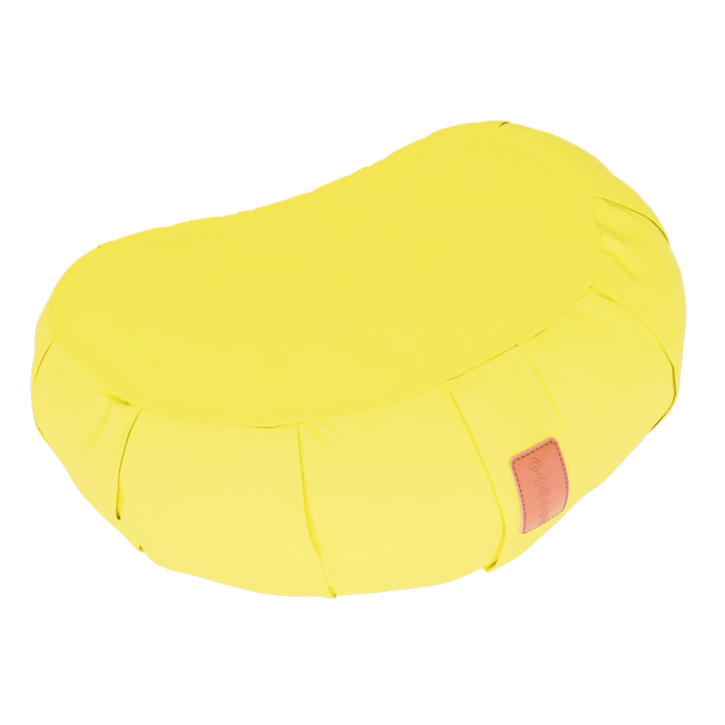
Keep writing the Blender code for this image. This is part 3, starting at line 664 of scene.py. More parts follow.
def crease_relief(arc, drop, creases):
    """Soft troughs, or ridges, from one place of the band to another, as heights above 0."""
    run = run_at(drop)
    total = np.zeros(np.shape(run))
    for start_arc, start_drop, end_arc, end_drop, half_width, depth, bend in creases:
        across = arc_gap(arc, start_arc)
        down = run - run_at(start_drop)
        end = np.array([end_arc - start_arc, run_at(end_drop) - run_at(start_drop)])
        length = np.linalg.norm(end)
        along = (across * end[0] + down * end[1]) / length ** 2
        part = np.clip(along, 0, 1)
        side = (across * end[1] - down * end[0]) / length - bend * MM * 4.0 * part * (1 - part)
        width = half_width * MM * (0.65 + 0.7 * part)
        fade = fade_in(CREASE_STARTS, along) * fade_out(CREASE_ENDS, along)
        total += depth * MM * np.exp(-(side / width) ** 2) * fade
    return total


def tuck_relief(arc, distance):
    """Cloth that pulls in under the seam at a few places."""
    total = np.zeros(np.shape(distance))
    for place, half_length, depth, reach in SEAM_TUCKS:
        near = np.exp(-(arc_gap(arc, place) / (half_length * MM)) ** 4)
        total -= depth * MM * near * np.exp(-(distance / (reach * MM)) ** 1.5)
    return total


def swell_relief(arc, drop):
    """Fuller and slacker places of the band."""
    total = np.zeros(np.broadcast(arc, drop).shape)
    for place, half_width, middle, half_height, height in SWELLS:
        across = (arc_gap(arc, place) / half_width) ** 2
        down = ((np.minimum(drop, 1.0) - middle) / half_height) ** 2
        total += height * MM * np.exp(-0.7 * (across + down))
    return total


def puff_relief(arc):
    """Cloth swelling between one fold and the next."""
    places = sorted([pleat.arc for pleat in PLEATS] + [FLAP_EDGE_PATH[1][EDGE_ARC]])
    total = np.zeros(np.shape(arc))
    for low, high in zip(places, places[1:] + [places[0] + SEAM_LENGTH]):
        part = np.mod(arc - low, SEAM_LENGTH) / (high - low)
        height = PUFF * min((high - low) / PUFF_SPACING, PUFF_MOST)
        total += np.where(part < 1.0, height * np.sin(math.pi * np.clip(part, 0, 1)) ** 2, 0.0)
    return total


def flap_span(drop):
    """Arcs of the flap's free edge and of the pleat line at its sewn side."""
    edge = path_column(FLAP_EDGE_PATH, EDGE_ARC, drop)
    return edge, FLAP_PLEAT.arc + fold_size(FLAP_PLEAT, LEAN, drop)


def flap_part(arc, drop):
    """0 at the flap's free edge and 1 at its sewn side."""
    edge, end = flap_span(drop)
    return (arc - edge) / (end - edge)


def flap_furrow(drop):
    """Depth of the furrow at the flap's sewn side."""
    return FURROW * fade_in(FLAP_THICKENS, drop) * fade_out(FURROW_ENDS, drop)


def flap_seat(arc, drop):
    """How far the band sinks under the flap, so that its sewn side lies flush."""
    part = flap_part(arc, drop)
    sink = (CLOTH + 2 * GAP) * fade_in(FLAP_SEWN_SIDE, part)
    sink = sink + flap_furrow(drop) * fade_in(FURROW_SIDE, part)
    inside = np.where((part > FLAP_SEAT_PARTS[0]) & (part < FLAP_SEAT_PARTS[1]), 1.0, 0.0)
    at_seam = FLAP_THIN * CLOTH * fade_in((-0.10, 0.0), part) * fade_out(FLAP_SEAM_SINK, drop)
    return inside * np.maximum(sink, at_seam) * (0.3 + 0.7 * fade_in((0.0, FLAP_SEAM_SINK[0]), drop))


def flap_gap(arc, drop):
    """Narrow dip of the band beside the flap's free edge."""
    beside = arc - flap_span(drop)[0] - FLAP_GAP_REACH
    depth = FLAP_GAP * (0.6 + 0.3 * fade_in(FLAP_GAP_DEEPENS, drop))
    depth = depth * fade_in(FLAP_GAP_STARTS, drop) * fade_out(FLAP_GAP_ENDS, drop)
    return depth * np.exp(-(beside / FLAP_GAP_REACH) ** 2)


def band_relief(arc, drop):
    """All the soft relief of the band but its folds."""
    distance = run_at(drop)
    base = wall(arc, np.minimum(drop, 1.0))
    total = crease_relief(arc, drop, RIDGES) - crease_relief(arc, drop, CREASES)
    total += swell_relief(arc, drop) * fade_in(SWELL_STARTS, drop)
    for height, shortest, longest, seed, starts in BAND_NOISE:
        total += height * MM * soft_noise(base, shortest, longest, seed) * fade_in(starts, drop)
    total *= fade_out(RELIEF_ENDS, drop)
    total += puff_relief(arc) * fade_in(PUFF_STARTS, drop) * fade_out(FOLD_FLATTENS, drop)
    total += seam_relief(arc, distance) + tuck_relief(arc, distance)
    foot_relief = FOOT_PUCKER * seam_relief(arc, np.abs(RUN_TABLE[-1] - distance))
    return total + foot_relief * fade_in(FOOT_PUCKER_STARTS, drop)


def lean_shift(arc, drop):
    """How far the cloth near an arc has leaned along the band with its folds."""
    total = np.zeros(np.broadcast(arc, drop).shape)
    for pleat in PLEATS:
        near = np.exp(-(arc_gap(arc, pleat.arc) / LEAN_REACH) ** 2)
        total += near * fold_size(pleat, LEAN, drop)
    return total


def fold_ease(drop):
    """Folds rise out of the seam and flatten again at the foot."""
    return fade_in(FOLD_RISES, drop) * fade_out(FOLD_FLATTENS, drop)


def fold_heights(arc, drop):
    """Lip that the folds raise on the cloth above them, and the dip and gap in the cloth that they lie on."""
    total = np.zeros(np.broadcast(arc, drop).shape)
    for pleat in PLEATS:
        side = -pleat.faces * arc_gap(arc, pleat.arc)
        lip = fold_size(pleat, LIP, drop) * fold_ease(drop) * np.exp(-side / LIP_REACH)
        dip = fold_size(pleat, DIP, drop) * np.exp(side / (pleat.dip_reach * MM))
        gap = fold_size(pleat, GAP_DEPTH, drop) * np.exp(-(side / fold_size(pleat, GAP_WIDTH, drop)) ** 2)
        total += np.where(side >= 0.0, lip, -dip - gap)
    return total


def fold_section(pleat, drop):
    """Columns of one fold from the cloth on top, round its edge and back out on the cloth below.

    Gives the arcs before leaning and the lifts, each with a row for every drop."""
    top = fold_size(pleat, LIP, drop) * fold_ease(drop)
    opened = fade_in(FOLD_OPENS, drop)
    lip_share = np.clip(path_column(pleat.path, LIP, drop), LEAST_LIP_SHARE, 1.0)
    radius = FOLD_RADIUS * opened * fade_out((FOLD_END, FLOOR_DROP), drop) * lip_share
    radius = np.maximum(radius, LEAST_RADIUS)
    hidden = pleat.tucked * MM * opened * fade_out((1.0, FLOOR_DROP), drop) + radius
    under = top - 2 * radius
    below = -fold_size(pleat, GAP_DEPTH, drop) - fold_size(pleat, DIP, drop)
    below = np.minimum(below, under - FOLD_SLIT)
    upper_end = (under + below + FOLD_SLIT) / 2
    lower_end = (under + below - FOLD_SLIT) / 2
    columns = []
    for angle in np.linspace(0.0, math.pi, EDGE_COLUMNS):
        columns.append((radius * (1 - math.sin(angle)), top - radius + radius * math.cos(angle)))
    for part in UPPER_PARTS:
        columns.append((radius + (hidden - radius) * part, under + (upper_end - under) * part ** 2))
    for part in LOWER_PARTS:
        columns.append((hidden * part, below + (lower_end - below) * part ** 2))
    columns.append((np.zeros(drop.shape), below))
    across, lift = (np.stack(column, 1) for column in zip(*columns))
    return pleat.arc - pleat.faces * across, lift


def plain_columns(arcs, drop):
    """Arcs and lifts of the band's columns at some arcs, away from the folded edges."""
    lifts = fold_heights(arcs[None, :], drop[:, None])
    return np.broadcast_to(arcs, lifts.shape), lifts


def side_by_side(columns):
    """Sets of columns joined, where each set is its arcs and its lifts."""
    return tuple(np.concatenate(grids, 1) for grids in zip(*columns))


def panel_columns(low, high):
    """Arcs strictly between two arcs, closest together where the band has fine relief."""
    ends = [low] + [arc for arc, pitch in COLUMN_PITCHES if low < arc < high] + [high]
    arcs = []
    for start, end in zip(ends, ends[1:]):
        middle = (start + end) / 2 % SEAM_LENGTH
        pitch = [pitch for arc, pitch in COLUMN_PITCHES if arc <= middle][-1]
        count = max(1, round((end - start) / pitch))
        arcs.append(start + (end - start) * np.arange(1, count + 1) / count)
    return np.concatenate(arcs)[:-1]


def band_columns(drop):
    """Arc and lift of every column of the band, each for every drop, in order of arc."""
    folds = []
    for pleat in PLEATS:
        above = plain_columns(pleat.arc - pleat.faces * TOP_OFFSETS, drop)
        below = plain_columns(pleat.arc + pleat.faces * BELOW_OFFSETS, drop)
        arcs, lifts = side_by_side([above, fold_section(pleat, drop), below])
        # The columns of a fold that faces -1 come from high arcs to low ones, so they are turned round.
        folds.append((arcs[:, ::pleat.faces], lifts[:, ::pleat.faces]))
    starts = [arcs[0, 0] for arcs, lifts in folds]
    starts.append(starts[0] + SEAM_LENGTH)
    columns = []
    for fold, following in zip(folds, starts[1:]):
        fold_end = fold[0][0, -1]
        columns += [fold, plain_columns(panel_columns(fold_end, following), drop)]
    return side_by_side(columns)


def band_drops():
    """Drops of the band's rows: close at the top seam, even further down, then in under the foot."""
    runs = [0.0]
    step = FIRST_ROW_PITCH
    while runs[-1] < RUN_TABLE[-1] - LAST_ROW_PITCH:
        runs.append(runs[-1] + step)
        step = min(step * ROW_PITCH_GROWTH, ROW_PITCH)
    return np.append(np.interp(runs, RUN_TABLE, DROP_TABLE), FLOOR_DROP)


def put_in_scene(name, data):
    """A new object in the scene for a mesh, a light or a camera."""
    item = bpy.data.objects.new(name, data)
    bpy.context.scene.collection.objects.link(item)
    return item


def make_object(name, points, faces, material, body="root"):
    """Puts a mesh in the scene as a smooth piece that rides on the cushion."""
    mesh = bpy.data.meshes.new(name)
    mesh.from_pydata(points.tolist(), [], faces)
    mesh.shade_smooth()
    mesh.materials.append(material)
    piece = put_in_scene(name, mesh)
    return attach(piece, body)


def store(piece, name, values):
    """Keeps numbers or vectors on a piece's points for its material."""
    values = np.asarray(values, np.float32)
    kind = "FLOAT_VECTOR" if values.ndim == 2 else "FLOAT"
    attribute = piece.data.attributes.new(name, kind, "POINT")
    attribute.data.foreach_set("vector" if values.ndim == 2 else "value", values.ravel())


def make_ringed(name, rings, material):
    """A closed piece through rings of points from its top down, with its first and last ring capped."""
    index = np.arange(rings.shape[0] * rings.shape[1]).reshape(rings.shape[:2])
    after = np.roll(index, -1, axis=1)
    quads = np.stack([index[:-1], index[1:], after[1:], after[:-1]], -1)
    faces = quads.reshape(-1, 4).tolist()
    faces.append(index[0].tolist())
    faces.append(index[-1, ::-1].tolist())
    return make_object(name, rings.reshape(-1, 3), faces, material)


def spine_plan(seam):
    """Plan point of the kidney's middle line that a seam point closes on."""
    x = (seam[..., 0] + BOX_CENTRE[0]) * SPINE_REACH
    y = SEAM_WAVES[1][3] * (2.0 * (x / SEAM_WAVES[0][1]) ** 2 - 1.0)
    return np.stack([x, y], -1) - BOX_CENTRE


def crown_ring(arc, part, inset, height):
    """Ring of the crowned top, a part of the way from the seam to the middle line."""
    seam, outward = seam_frame(arc)[:2]
    edge = seam - outward * inset
    plan = edge + (spine_plan(seam) - edge) * part
    top = SEAM_HEIGHT + CROWN * (1.0 - (1.0 - part) ** 2) + height
    return np.concatenate([plan, np.broadcast_to(top, plan.shape[:-1])[..., None]], -1)


def level_ring(arc, part, inset, height):
    """The same ring at a height of its own."""
    ring = crown_ring(arc, part, inset, 0.0)
    ring[:, 2] = height
    return ring


def make_band(material):
    """The filled cushion with its pleated side band."""
    drops = band_drops()
    arcs, lifts = band_columns(drops)
    drop_grid = np.broadcast_to(drops[:, None], arcs.shape)
    leaned = arcs + lean_shift(arcs, drop_grid)
    lifts = lifts + band_relief(leaned, drop_grid)
    lifts = lifts - flap_seat(leaned, drop_grid) - flap_gap(leaned, drop_grid)
    points = wall(leaned, drop_grid, lifts)
    under = fade_in(UNDER_THE_FOOT, drop_grid)
    floor_height = FOOT_LIFT - np.minimum(lifts, 0.0) * FOOT_LIFT_SHARE
    points[..., 2] = np.maximum(points[..., 2] * (1 - under) + floor_height * under, 0.0)
    rim = leaned[0]
    seat = [crown_ring(rim, part, BAND_INSET, -SEAT_DEPTH) for part in reversed(SEAT_PARTS)]
    foot = level_ring(rim, 0.0, BAND_INSET, CLOTH + GAP)
    rings = np.concatenate([np.stack(seat), points, foot[None]])
    piece = make_ringed("cushion_band", rings, material)
    steps = np.linalg.norm(np.diff(points, axis=1, prepend=points[:, -1:]), axis=-1)
    steps[:, 0] = 0.0
    cloth = np.zeros(rings.shape)
    cloth[..., 0] = np.cumsum(steps[len(drops) // 2])
    cloth[len(seat):-1, :, 1] = run_at(drops)[:, None]
    cloth[-1, :, 1] = RUN_TABLE[-1]
    store(piece, "cloth", cloth.reshape(-1, 3))
    return piece


def make_panel(name, rings, material):
    """A kidney panel through rings of points, its cloth lying the way the panel does."""
    rings = np.stack(rings)
    piece = make_ringed(name, rings, material)
    store(piece, "cloth", rings.reshape(-1, 3) * (1.0, 1.0, 0.0))
    return piece


def panel_surface(arc, inset, part):
    """Outer face of the top panel: near the seam by inset, further in by its part of the way."""
    plain = crown_ring(arc, part, inset, 0.0)
    seam = seam_frame(arc)[0]
    distance = inset + part * np.linalg.norm(spine_plan(seam) - seam, axis=-1)
    swell = sum(height * soft_noise(plain, shortest, longest, seed)
                for height, shortest, longest, seed in TOP_NOISE)
    plain[..., 2] += seam_relief(arc, distance) + swell * MM * fade_in(TOP_NOISE_STARTS, distance)
    return plain


PANEL_ARCS = SEAM_LENGTH * np.arange(TOP_COLUMNS) / TOP_COLUMNS


def make_top(material):
    """The top panel, a kidney of cloth with a slight crown, drawn down into the seam at its edge."""
    rings = [panel_surface(PANEL_ARCS, TOP_RING_INSETS[-1], part) for part in reversed(TOP_INNER_PARTS)]
    rings += [panel_surface(PANEL_ARCS, inset, 0.0) for inset in reversed(TOP_RING_INSETS)]
    rings.append(rings[-1] - (0.0, 0.0, CLOTH * TOP_EDGE_SHARE))
    for part in SEAT_PARTS:
        rings.append(panel_surface(PANEL_ARCS, TOP_UNDER_INSET, part) - (0.0, 0.0, CLOTH))
    return make_panel("top_cloth", rings, material)


def make_bottom(material):
    """The bottom panel, the same kidney, flat on the floor."""
    rings = [level_ring(PANEL_ARCS, part, BOTTOM_INSET, CLOTH) for part in reversed(BOTTOM_PARTS)]
    waver = BOTTOM_WAVER * np.maximum(1 + seam_pucker(PANEL_ARCS), 0.0)
    for inset, height in BOTTOM_EDGE:
        level = CLOTH * height + waver * (height < BOTTOM_WAVER_BELOW)
        rings.append(level_ring(PANEL_ARCS, 0.0, inset * MM, level))
    rings += [level_ring(PANEL_ARCS, part, BOTTOM_INSET, 0.0) for part in BOTTOM_PARTS]
    return make_panel("bottom_cloth", rings, material)


def make_sheet(name, outer, inner, material):
    """A closed sheet between two grids of points, its outer face and its inner one."""
    rows, columns = outer.shape[:2]
    size = rows * columns
    index = np.arange(size).reshape(rows, columns)
    quads = np.stack([index[:-1, :-1], index[1:, :-1], index[1:, 1:], index[:-1, 1:]], -1).reshape(-1, 4)
    border = np.concatenate([index[0, :-1], index[:-1, -1], index[-1, :0:-1], index[:0:-1, 0]])
    after = np.roll(border, -1)
    sides = np.stack([border, after, after + size, border + size], -1)
    faces = np.concatenate([quads, quads[:, [0, 3, 2, 1]] + size, sides]).tolist()
    points = np.concatenate([outer.reshape(-1, 3), inner.reshape(-1, 3)])
    return make_object(name, points, faces, material)


def flap_surface(part, drop, rise):
    """Points of the flap, part of the way across and raised off its underside, and their arcs."""
    edge, end = flap_span(drop)
    arc = edge + (end - edge) * part
    base = band_relief(arc, drop) - flap_seat(np.minimum(arc, end), drop)
    stand_off = GAP + path_column(FLAP_EDGE_PATH, EDGE_LIFT, drop) * MM * np.clip(1.0 - part, 0.0, 1.0) ** 1.5
    furrow = flap_furrow(drop) * np.exp(-((end - arc) / FURROW_REACH) ** 2)
    full = np.maximum(fade_in(FLAP_THICKENS, drop), fade_in(FLAP_SEWN_SIDE, part))
    thick = FLAP_THIN + (1 - FLAP_THIN) * full
    return wall(arc, drop, base + stand_off - furrow + rise * thick), arc


def round_edge(distance, half):
    """Half thickness of cloth at a distance from its round edge, as a part of the full one."""
    inside = np.clip(distance / half, 0.0, 1.0)
    return np.sqrt(inside * (2.0 - inside))


def make_flap(material):
    """The overlapping end of the band, with its round folded edge."""
    drops = band_drops()
    drops = drops[(drops > FLAP_TOP_DROP) & (drops < FLAP_FOOT_DROP)]
    drops = np.append(drops, FLAP_FOOT_DROP)
    width = FLAP_PLEAT.arc - FLAP_EDGE_PATH[0][EDGE_ARC]
    near = FLAP_EDGE_OFFSETS / width
    parts = np.concatenate([near, np.linspace(near[-1], 1.0 + FLAP_UNDER / width, FLAP_COLUMNS)[1:]])
    part_grid, drop_grid = np.meshgrid(parts, drops)
    run = run_at(drop_grid)
    half = CLOTH / 2 * (1.0 + HEM_EXTRA * fade_out(FLAP_HEM, part_grid * width))
    at_foot = round_edge(run_at(FLAP_FOOT_DROP) - run + FLAP_FOOT_SLACK, CLOTH / 2)
    share = round_edge(part_grid * width, CLOTH / 2) * at_foot
    outer, arcs = flap_surface(part_grid, drop_grid, half + half * share)
    inner = flap_surface(part_grid, drop_grid, half - half * share * FLAP_INNER_SHARE)[0]
    for points in (outer, inner):
        points[..., 2] = np.maximum(points[..., 2], FOOT_LIFT)
    piece = make_sheet("overlap_cloth", outer, inner, material)
    cloth = np.stack([arcs, run, np.zeros(arcs.shape)], -1).reshape(-1, 3)
    store(piece, "cloth", np.concatenate([cloth, cloth]))
    return piece


def patch_scale():
    """Width on the flap's surface for each metre of arc, at the patch."""
    step = 0.002
    pair = wall(np.array([PATCH_ARC - step, PATCH_ARC + step]), PATCH_DROP)
    return np.linalg.norm(pair[1] - pair[0]) / (2 * step)


def on_patch(across, along, rise):
    """A point over the flap, placed by metres across and down from the patch's middle."""
    along = along + PATCH_SKEW * across * fade_in((-0.3, 1.0), along / (PATCH_LENGTH / 2))
    right = across * math.cos(PATCH_TURN) - along * math.sin(PATCH_TURN)
    down = along * math.cos(PATCH_TURN) + across * math.sin(PATCH_TURN)
    drop = np.interp(run_at(PATCH_DROP) + down, RUN_TABLE, DROP_TABLE)
    arc = PATCH_ARC + right / patch_scale()
    return flap_surface(flap_part(arc, drop), drop, CLOTH + GAP + rise)[0]


def edge_distance(across, along):
    """Distance in from the rounded rectangle's outline."""
    over_x = np.abs(across) - (PATCH_WIDTH / 2 - PATCH_CORNER)
    over_y = np.abs(along) - (PATCH_LENGTH / 2 - PATCH_CORNER)
    outside = np.hypot(np.maximum(over_x, 0.0), np.maximum(over_y, 0.0))
    inside = np.minimum(np.maximum(over_x, over_y), 0.0)
    return PATCH_CORNER - outside - inside


def line_mark(distance, half_width):
    """1 on a pressed line and 0 off it, with soft edges."""
    return fade_out((half_width * 0.5, half_width * 1.5), np.abs(distance))


def pressed_marks(across, along):
    """A plain chain of diamonds pressed down the patch, each with a smaller one inside."""
    reach = DIAMOND * DIAMOND_COUNT
    nearest = (np.floor((along + reach) / (2 * DIAMOND)) + 0.5) * 2 * DIAMOND - reach
    away = np.abs(across - MARKS_MIDDLE) + np.abs(along - nearest)
    marks = [line_mark((away - DIAMOND * size) / math.sqrt(2), MARK) for size in DIAMOND_SIZES]
    return np.maximum(*marks) * (np.abs(along) < reach)


def make_patch(material):
    """The leather patch: round corners and edges, a sewn groove and pressed diamonds."""
    rows = np.linspace(-1, 1, round(PATCH_LENGTH / PATCH_PITCH) + 1)
    columns = np.linspace(-1, 1, round(PATCH_WIDTH / PATCH_PITCH) + 1)
    eased = (1 - PATCH_ROWS_EASED) * rows + PATCH_ROWS_EASED * np.sin(rows * math.pi / 2)
    along = eased * PATCH_LENGTH / 2
    over = np.maximum(np.abs(along) - (PATCH_LENGTH / 2 - PATCH_CORNER), 0.0)
    half = PATCH_WIDTH / 2 - PATCH_CORNER + np.sqrt(np.maximum(PATCH_CORNER ** 2 - over ** 2, 0.0))
    across = half[:, None] * columns[None, :]
    along = np.broadcast_to(along[:, None], across.shape)
    inward = np.maximum(edge_distance(across, along), 0.0)
    groove = np.exp(-((inward - STITCH_INSET) / GROOVE_HALF_WIDTH) ** 2)
    marks = pressed_marks(across, along) * (inward > MARKS_INSET)
    rounding = PATCH_EDGE_SHARE * (1 - round_edge(inward, PATCH_EDGE_RADIUS))
    rise = LEATHER * (1 - rounding) + PATCH_DOME * fade_in(PATCH_DOME_RISES, inward)
    rise = rise - GROOVE_DEPTH * groove - MARK_DEPTH * marks
    outer = on_patch(across, along, rise)
    inner = on_patch(across, along, np.zeros(across.shape))
    piece = make_sheet("patch_leather", outer, inner, material)
    flat = np.stack([across, along, np.zeros(across.shape)], -1).reshape(-1, 3)
    store(piece, "hide", np.concatenate([flat, flat]))
    store(piece, "rim", np.tile(fade_out(PATCH_RIM, inward).ravel(), 2))
    store(piece, "pressed", np.tile(np.maximum(marks, GROOVE_SHADE * groove).ravel(), 2))
    return piece


def outline_sides(inset):
    """Straight sides of the rounded outline, inset from the patch's edge: start, direction and length."""
    half_w = PATCH_WIDTH / 2 - inset
    half_l = PATCH_LENGTH / 2 - inset
    corner = PATCH_CORNER - inset
    straight_w = 2 * (half_w - corner)
    straight_l = 2 * (half_l - corner)
    return (
        (Vector((-half_w + corner, -half_l)), Vector((1, 0)), straight_w),
        (Vector((half_w, -half_l + corner)), Vector((0, 1)), straight_l),
        (Vector((half_w - corner, half_l)), Vector((-1, 0)), straight_w),
        (Vector((-half_w, half_l - corner)), Vector((0, -1)), straight_l),
    )


def outline_length(inset):
    """Distance round that outline."""
    return sum(side[2] for side in outline_sides(inset)) + math.tau * (PATCH_CORNER - inset)


def on_outline(place, inset):
    """Position and direction on that outline at a distance round it."""
    corner = PATCH_CORNER - inset
    quarter = corner * math.pi / 2
    place = place % outline_length(inset)
    sides = outline_sides(inset)
    for start, direction, length in sides:
        if place < length:
            return start + direction * place, direction
        place -= length
        if place < quarter:
            turn = place / corner
            inward = Vector((-direction.y, direction.x))
            centre = start + direction * length + inward * corner
            heading = direction * math.cos(turn) + inward * math.sin(turn)
            return centre + Vector((heading.y, -heading.x)) * corner, heading
        place -= quarter
    return sides[0][:2]


def make_stitches(material):
    """Dark thread round the patch: each stitch is a short bead that dives into the leather at its ends."""
    perimeter = outline_length(STITCH_INSET)
    count = round(perimeter / STITCH_PITCH)
    places, faces, twist = [], [], []
    for number in range(count):
        first = len(places)
        for ring in range(STITCH_RINGS):
            part = ring / (STITCH_RINGS - 1)
            run = perimeter * number / count + STITCH_LENGTH * part
            spot, heading = on_outline(run, STITCH_INSET)
            swell = max(math.sin(math.pi * part), 0.0) ** 0.45
            radius = THREAD / 2 * max(swell, STITCH_TIP)
            rise = LEATHER - GROOVE_DEPTH + THREAD * (STITCH_ARCH * swell - STITCH_SUNK)
            sideways = Vector((-heading.y, heading.x))
            for side in range(STITCH_SIDES):
                angle = math.tau * side / STITCH_SIDES
                spin = spot + sideways * (radius * math.cos(angle))
                places.append((spin.x, spin.y, rise + radius * math.sin(angle)))
                twist.append((run, angle, 0.0))
        for start in range(first, first + (STITCH_RINGS - 1) * STITCH_SIDES, STITCH_SIDES):
            for side in range(STITCH_SIDES):
                a = start + side
                b = start + (side + 1) % STITCH_SIDES
                faces.append((a, b, b + STITCH_SIDES, a + STITCH_SIDES))
        last = first + (STITCH_RINGS - 1) * STITCH_SIDES
        faces.append(tuple(reversed(range(first, first + STITCH_SIDES))))
        faces.append(tuple(range(last, last + STITCH_SIDES)))
    across, along, rise = np.array(places).T
    piece = make_object("patch_stitches", on_patch(across, along, rise), faces, material)
    store(piece, "twist", np.array(twist))
    return piece


class Nodes:
    """Builds a node tree. The values given to a node are sockets to link, or numbers and colours to set."""

    def __init__(self, tree):
        self.tree = tree

    def feed(self, node, inputs):
        """Links or sets a node's inputs."""
        for key, value in inputs.items():
            if isinstance(value, bpy.types.NodeSocket):
                self.tree.links.new(value, node.inputs[key])
            elif value is not None:
                node.inputs[key].default_value = value

    def add(self, kind, inputs, output=0, **properties):
        """Adds a node. Gives one of its outputs."""
        node = self.tree.nodes.new(kind)
        for name, value in properties.items():
            setattr(node, name, value)
        self.feed(node, inputs)
        return node.outputs[output]

    def math(self, operation, first, second=None):
        """A Math node."""
        return self.add("ShaderNodeMath", {0: first, 1: second}, operation=operation)

    def times(self, first, second):
        """One value times another."""
        return self.math("MULTIPLY", first, second)

    def plus(self, first, second):
        """The sum of two values."""
        return self.math("ADD", first, second)

    def mix(self, factor, first, second):
        """A colour between two others."""
        return self.add("ShaderNodeMix", {0: factor, 6: first, 7: second}, 2, data_type="RGBA")

    def noise(self, vector, scale, detail):
        """A Noise texture's value."""
        return self.add("ShaderNodeTexNoise", {"Vector": vector, "Scale": scale, "Detail": detail})

    def attribute(self, name, output="Fac"):
        """A value or vector kept on the mesh's points."""
        return self.add("ShaderNodeAttribute", {}, output, attribute_name=name)

    def axis(self, vector, number):
        """One of a vector's numbers."""
        return self.add("ShaderNodeSeparateXYZ", {0: vector}, number)

    def stretched(self, vector, scale):
        """A vector with each axis scaled on its own."""
        return self.add("ShaderNodeVectorMath", {0: vector, 1: scale}, operation="MULTIPLY")

    def bump(self, height, strength, distance, normal=None):
        """A Bump node's normal."""
        inputs = {"Height": height, "Strength": strength, "Distance": distance, "Normal": normal}
        return self.add("ShaderNodeBump", inputs)


def new_material(name):
    """An empty node material. Gives it, its nodes and its Principled shader."""
    material = bpy.data.materials.new(name)
    material.use_nodes = True
    return material, Nodes(material.node_tree), material.node_tree.nodes["Principled BSDF"]


def cotton(name, colour, deep):
    """Closely woven cotton: a plain weave with uneven threads, a soft mottle, fine wrinkles and painted shade
    in the weave's low places.
    """
    material, nodes, shader = new_material(name)
    cloth = nodes.attribute("cloth", "Vector")
    warp = nodes.math("SINE", nodes.times(nodes.axis(cloth, 0), math.pi / THREAD_PITCH))
    weft = nodes.math("SINE", nodes.times(nodes.axis(cloth, 1), math.pi / THREAD_PITCH))
    side = nodes.math("GREATER_THAN", nodes.times(warp, weft), 0.0)
    warp_part = nodes.times(nodes.math("ABSOLUTE", warp), side)
    weft_part = nodes.times(nodes.math("ABSOLUTE", weft), nodes.math("SUBTRACT", 1.0, side))
    weave = nodes.plus(warp_part, weft_part)
    slubs_warp = nodes.noise(nodes.stretched(cloth, (1.0, 0.05, 1.0)), SLUB_SCALE, 1.0)
    slubs_weft = nodes.noise(nodes.stretched(cloth, (0.05, 1.0, 1.0)), SLUB_SCALE, 1.0)
    slubs = nodes.plus(slubs_warp, slubs_weft)
    height = nodes.plus(weave, nodes.times(slubs, 0.7))
    threads = nodes.bump(height, 0.35, THREAD_HEIGHT)
    wrinkles = nodes.bump(nodes.noise(cloth, WRINKLE_SCALE, 3.0), 0.12, WRINKLE_HEIGHT, threads)
    mottle = nodes.times(nodes.noise(cloth, MOTTLE_SCALE, 3.0), 0.55)
    # Painted shade: the weave's low places, between the threads, are mixed towards the deep colour.
    weave_valley_shade = nodes.times(nodes.math("SUBTRACT", 1.35, weave), 0.16)
    nodes.feed(shader, {
        "Normal": wrinkles,
        "Base Color": nodes.mix(weave_valley_shade, nodes.mix(mottle, colour, deep), deep),
        "Roughness": nodes.plus(nodes.times(slubs, 0.06), 0.78),
        "Specular IOR Level": 0.12,
    })
    return material


def leather(name, colour, deep, pale):
    """Smooth tan leather with a fine grain, a paler cut edge and darker pressed marks."""
    material, nodes, shader = new_material(name)
    hide = nodes.attribute("hide", "Vector")
    cells = nodes.add("ShaderNodeTexVoronoi", {"Vector": hide, "Scale": GRAIN_SCALE}, "Distance",
                      feature="DISTANCE_TO_EDGE")
    pores = nodes.noise(hide, PORE_SCALE, 2.0)
    grain = nodes.plus(nodes.math("MINIMUM", cells, 0.25), nodes.times(pores, 0.12))
    fine = nodes.bump(grain, 0.30, GRAIN_HEIGHT)
    patches = nodes.times(nodes.noise(hide, PATCHES_SCALE, 3.0), 0.7)
    marks = nodes.times(nodes.attribute("pressed"), 0.75)
    marked = nodes.mix(marks, nodes.mix(patches, colour, deep), deep)
    nodes.feed(shader, {
        "Normal": nodes.bump(nodes.noise(hide, HIDE_SWELL_SCALE, 2.0), 0.20, HIDE_SWELL_HEIGHT, fine),
        "Base Color": nodes.mix(nodes.attribute("rim"), marked, pale),
        "Roughness": nodes.plus(nodes.times(pores, 0.18), 0.30),
        "Specular IOR Level": 0.55,
    })
    return material


def thread(name, colour):
    """Twisted sewing thread, with a painted highlight along its strands."""
    material, nodes, shader = new_material(name)
    twist = nodes.attribute("twist", "Vector")
    lay = nodes.times(nodes.axis(twist, 0), math.tau / THREAD_LAY)
    strands = nodes.math("SINE", nodes.plus(lay, nodes.times(nodes.axis(twist, 1), 2.0)))
    # Painted highlight: the strands' raised crowns are coloured lighter than the thread between them.
    strand_highlight = nodes.plus(nodes.times(strands, 0.3), 0.3)
    highlight_colour = tuple(min(1.0, value * 1.7) for value in colour[:3]) + (1.0,)
    nodes.feed(shader, {
        "Normal": nodes.bump(strands, 0.5, STRAND_HEIGHT),
        "Base Color": nodes.mix(strand_highlight, colour, highlight_colour),
        "Roughness": 0.6,
    })
    return material


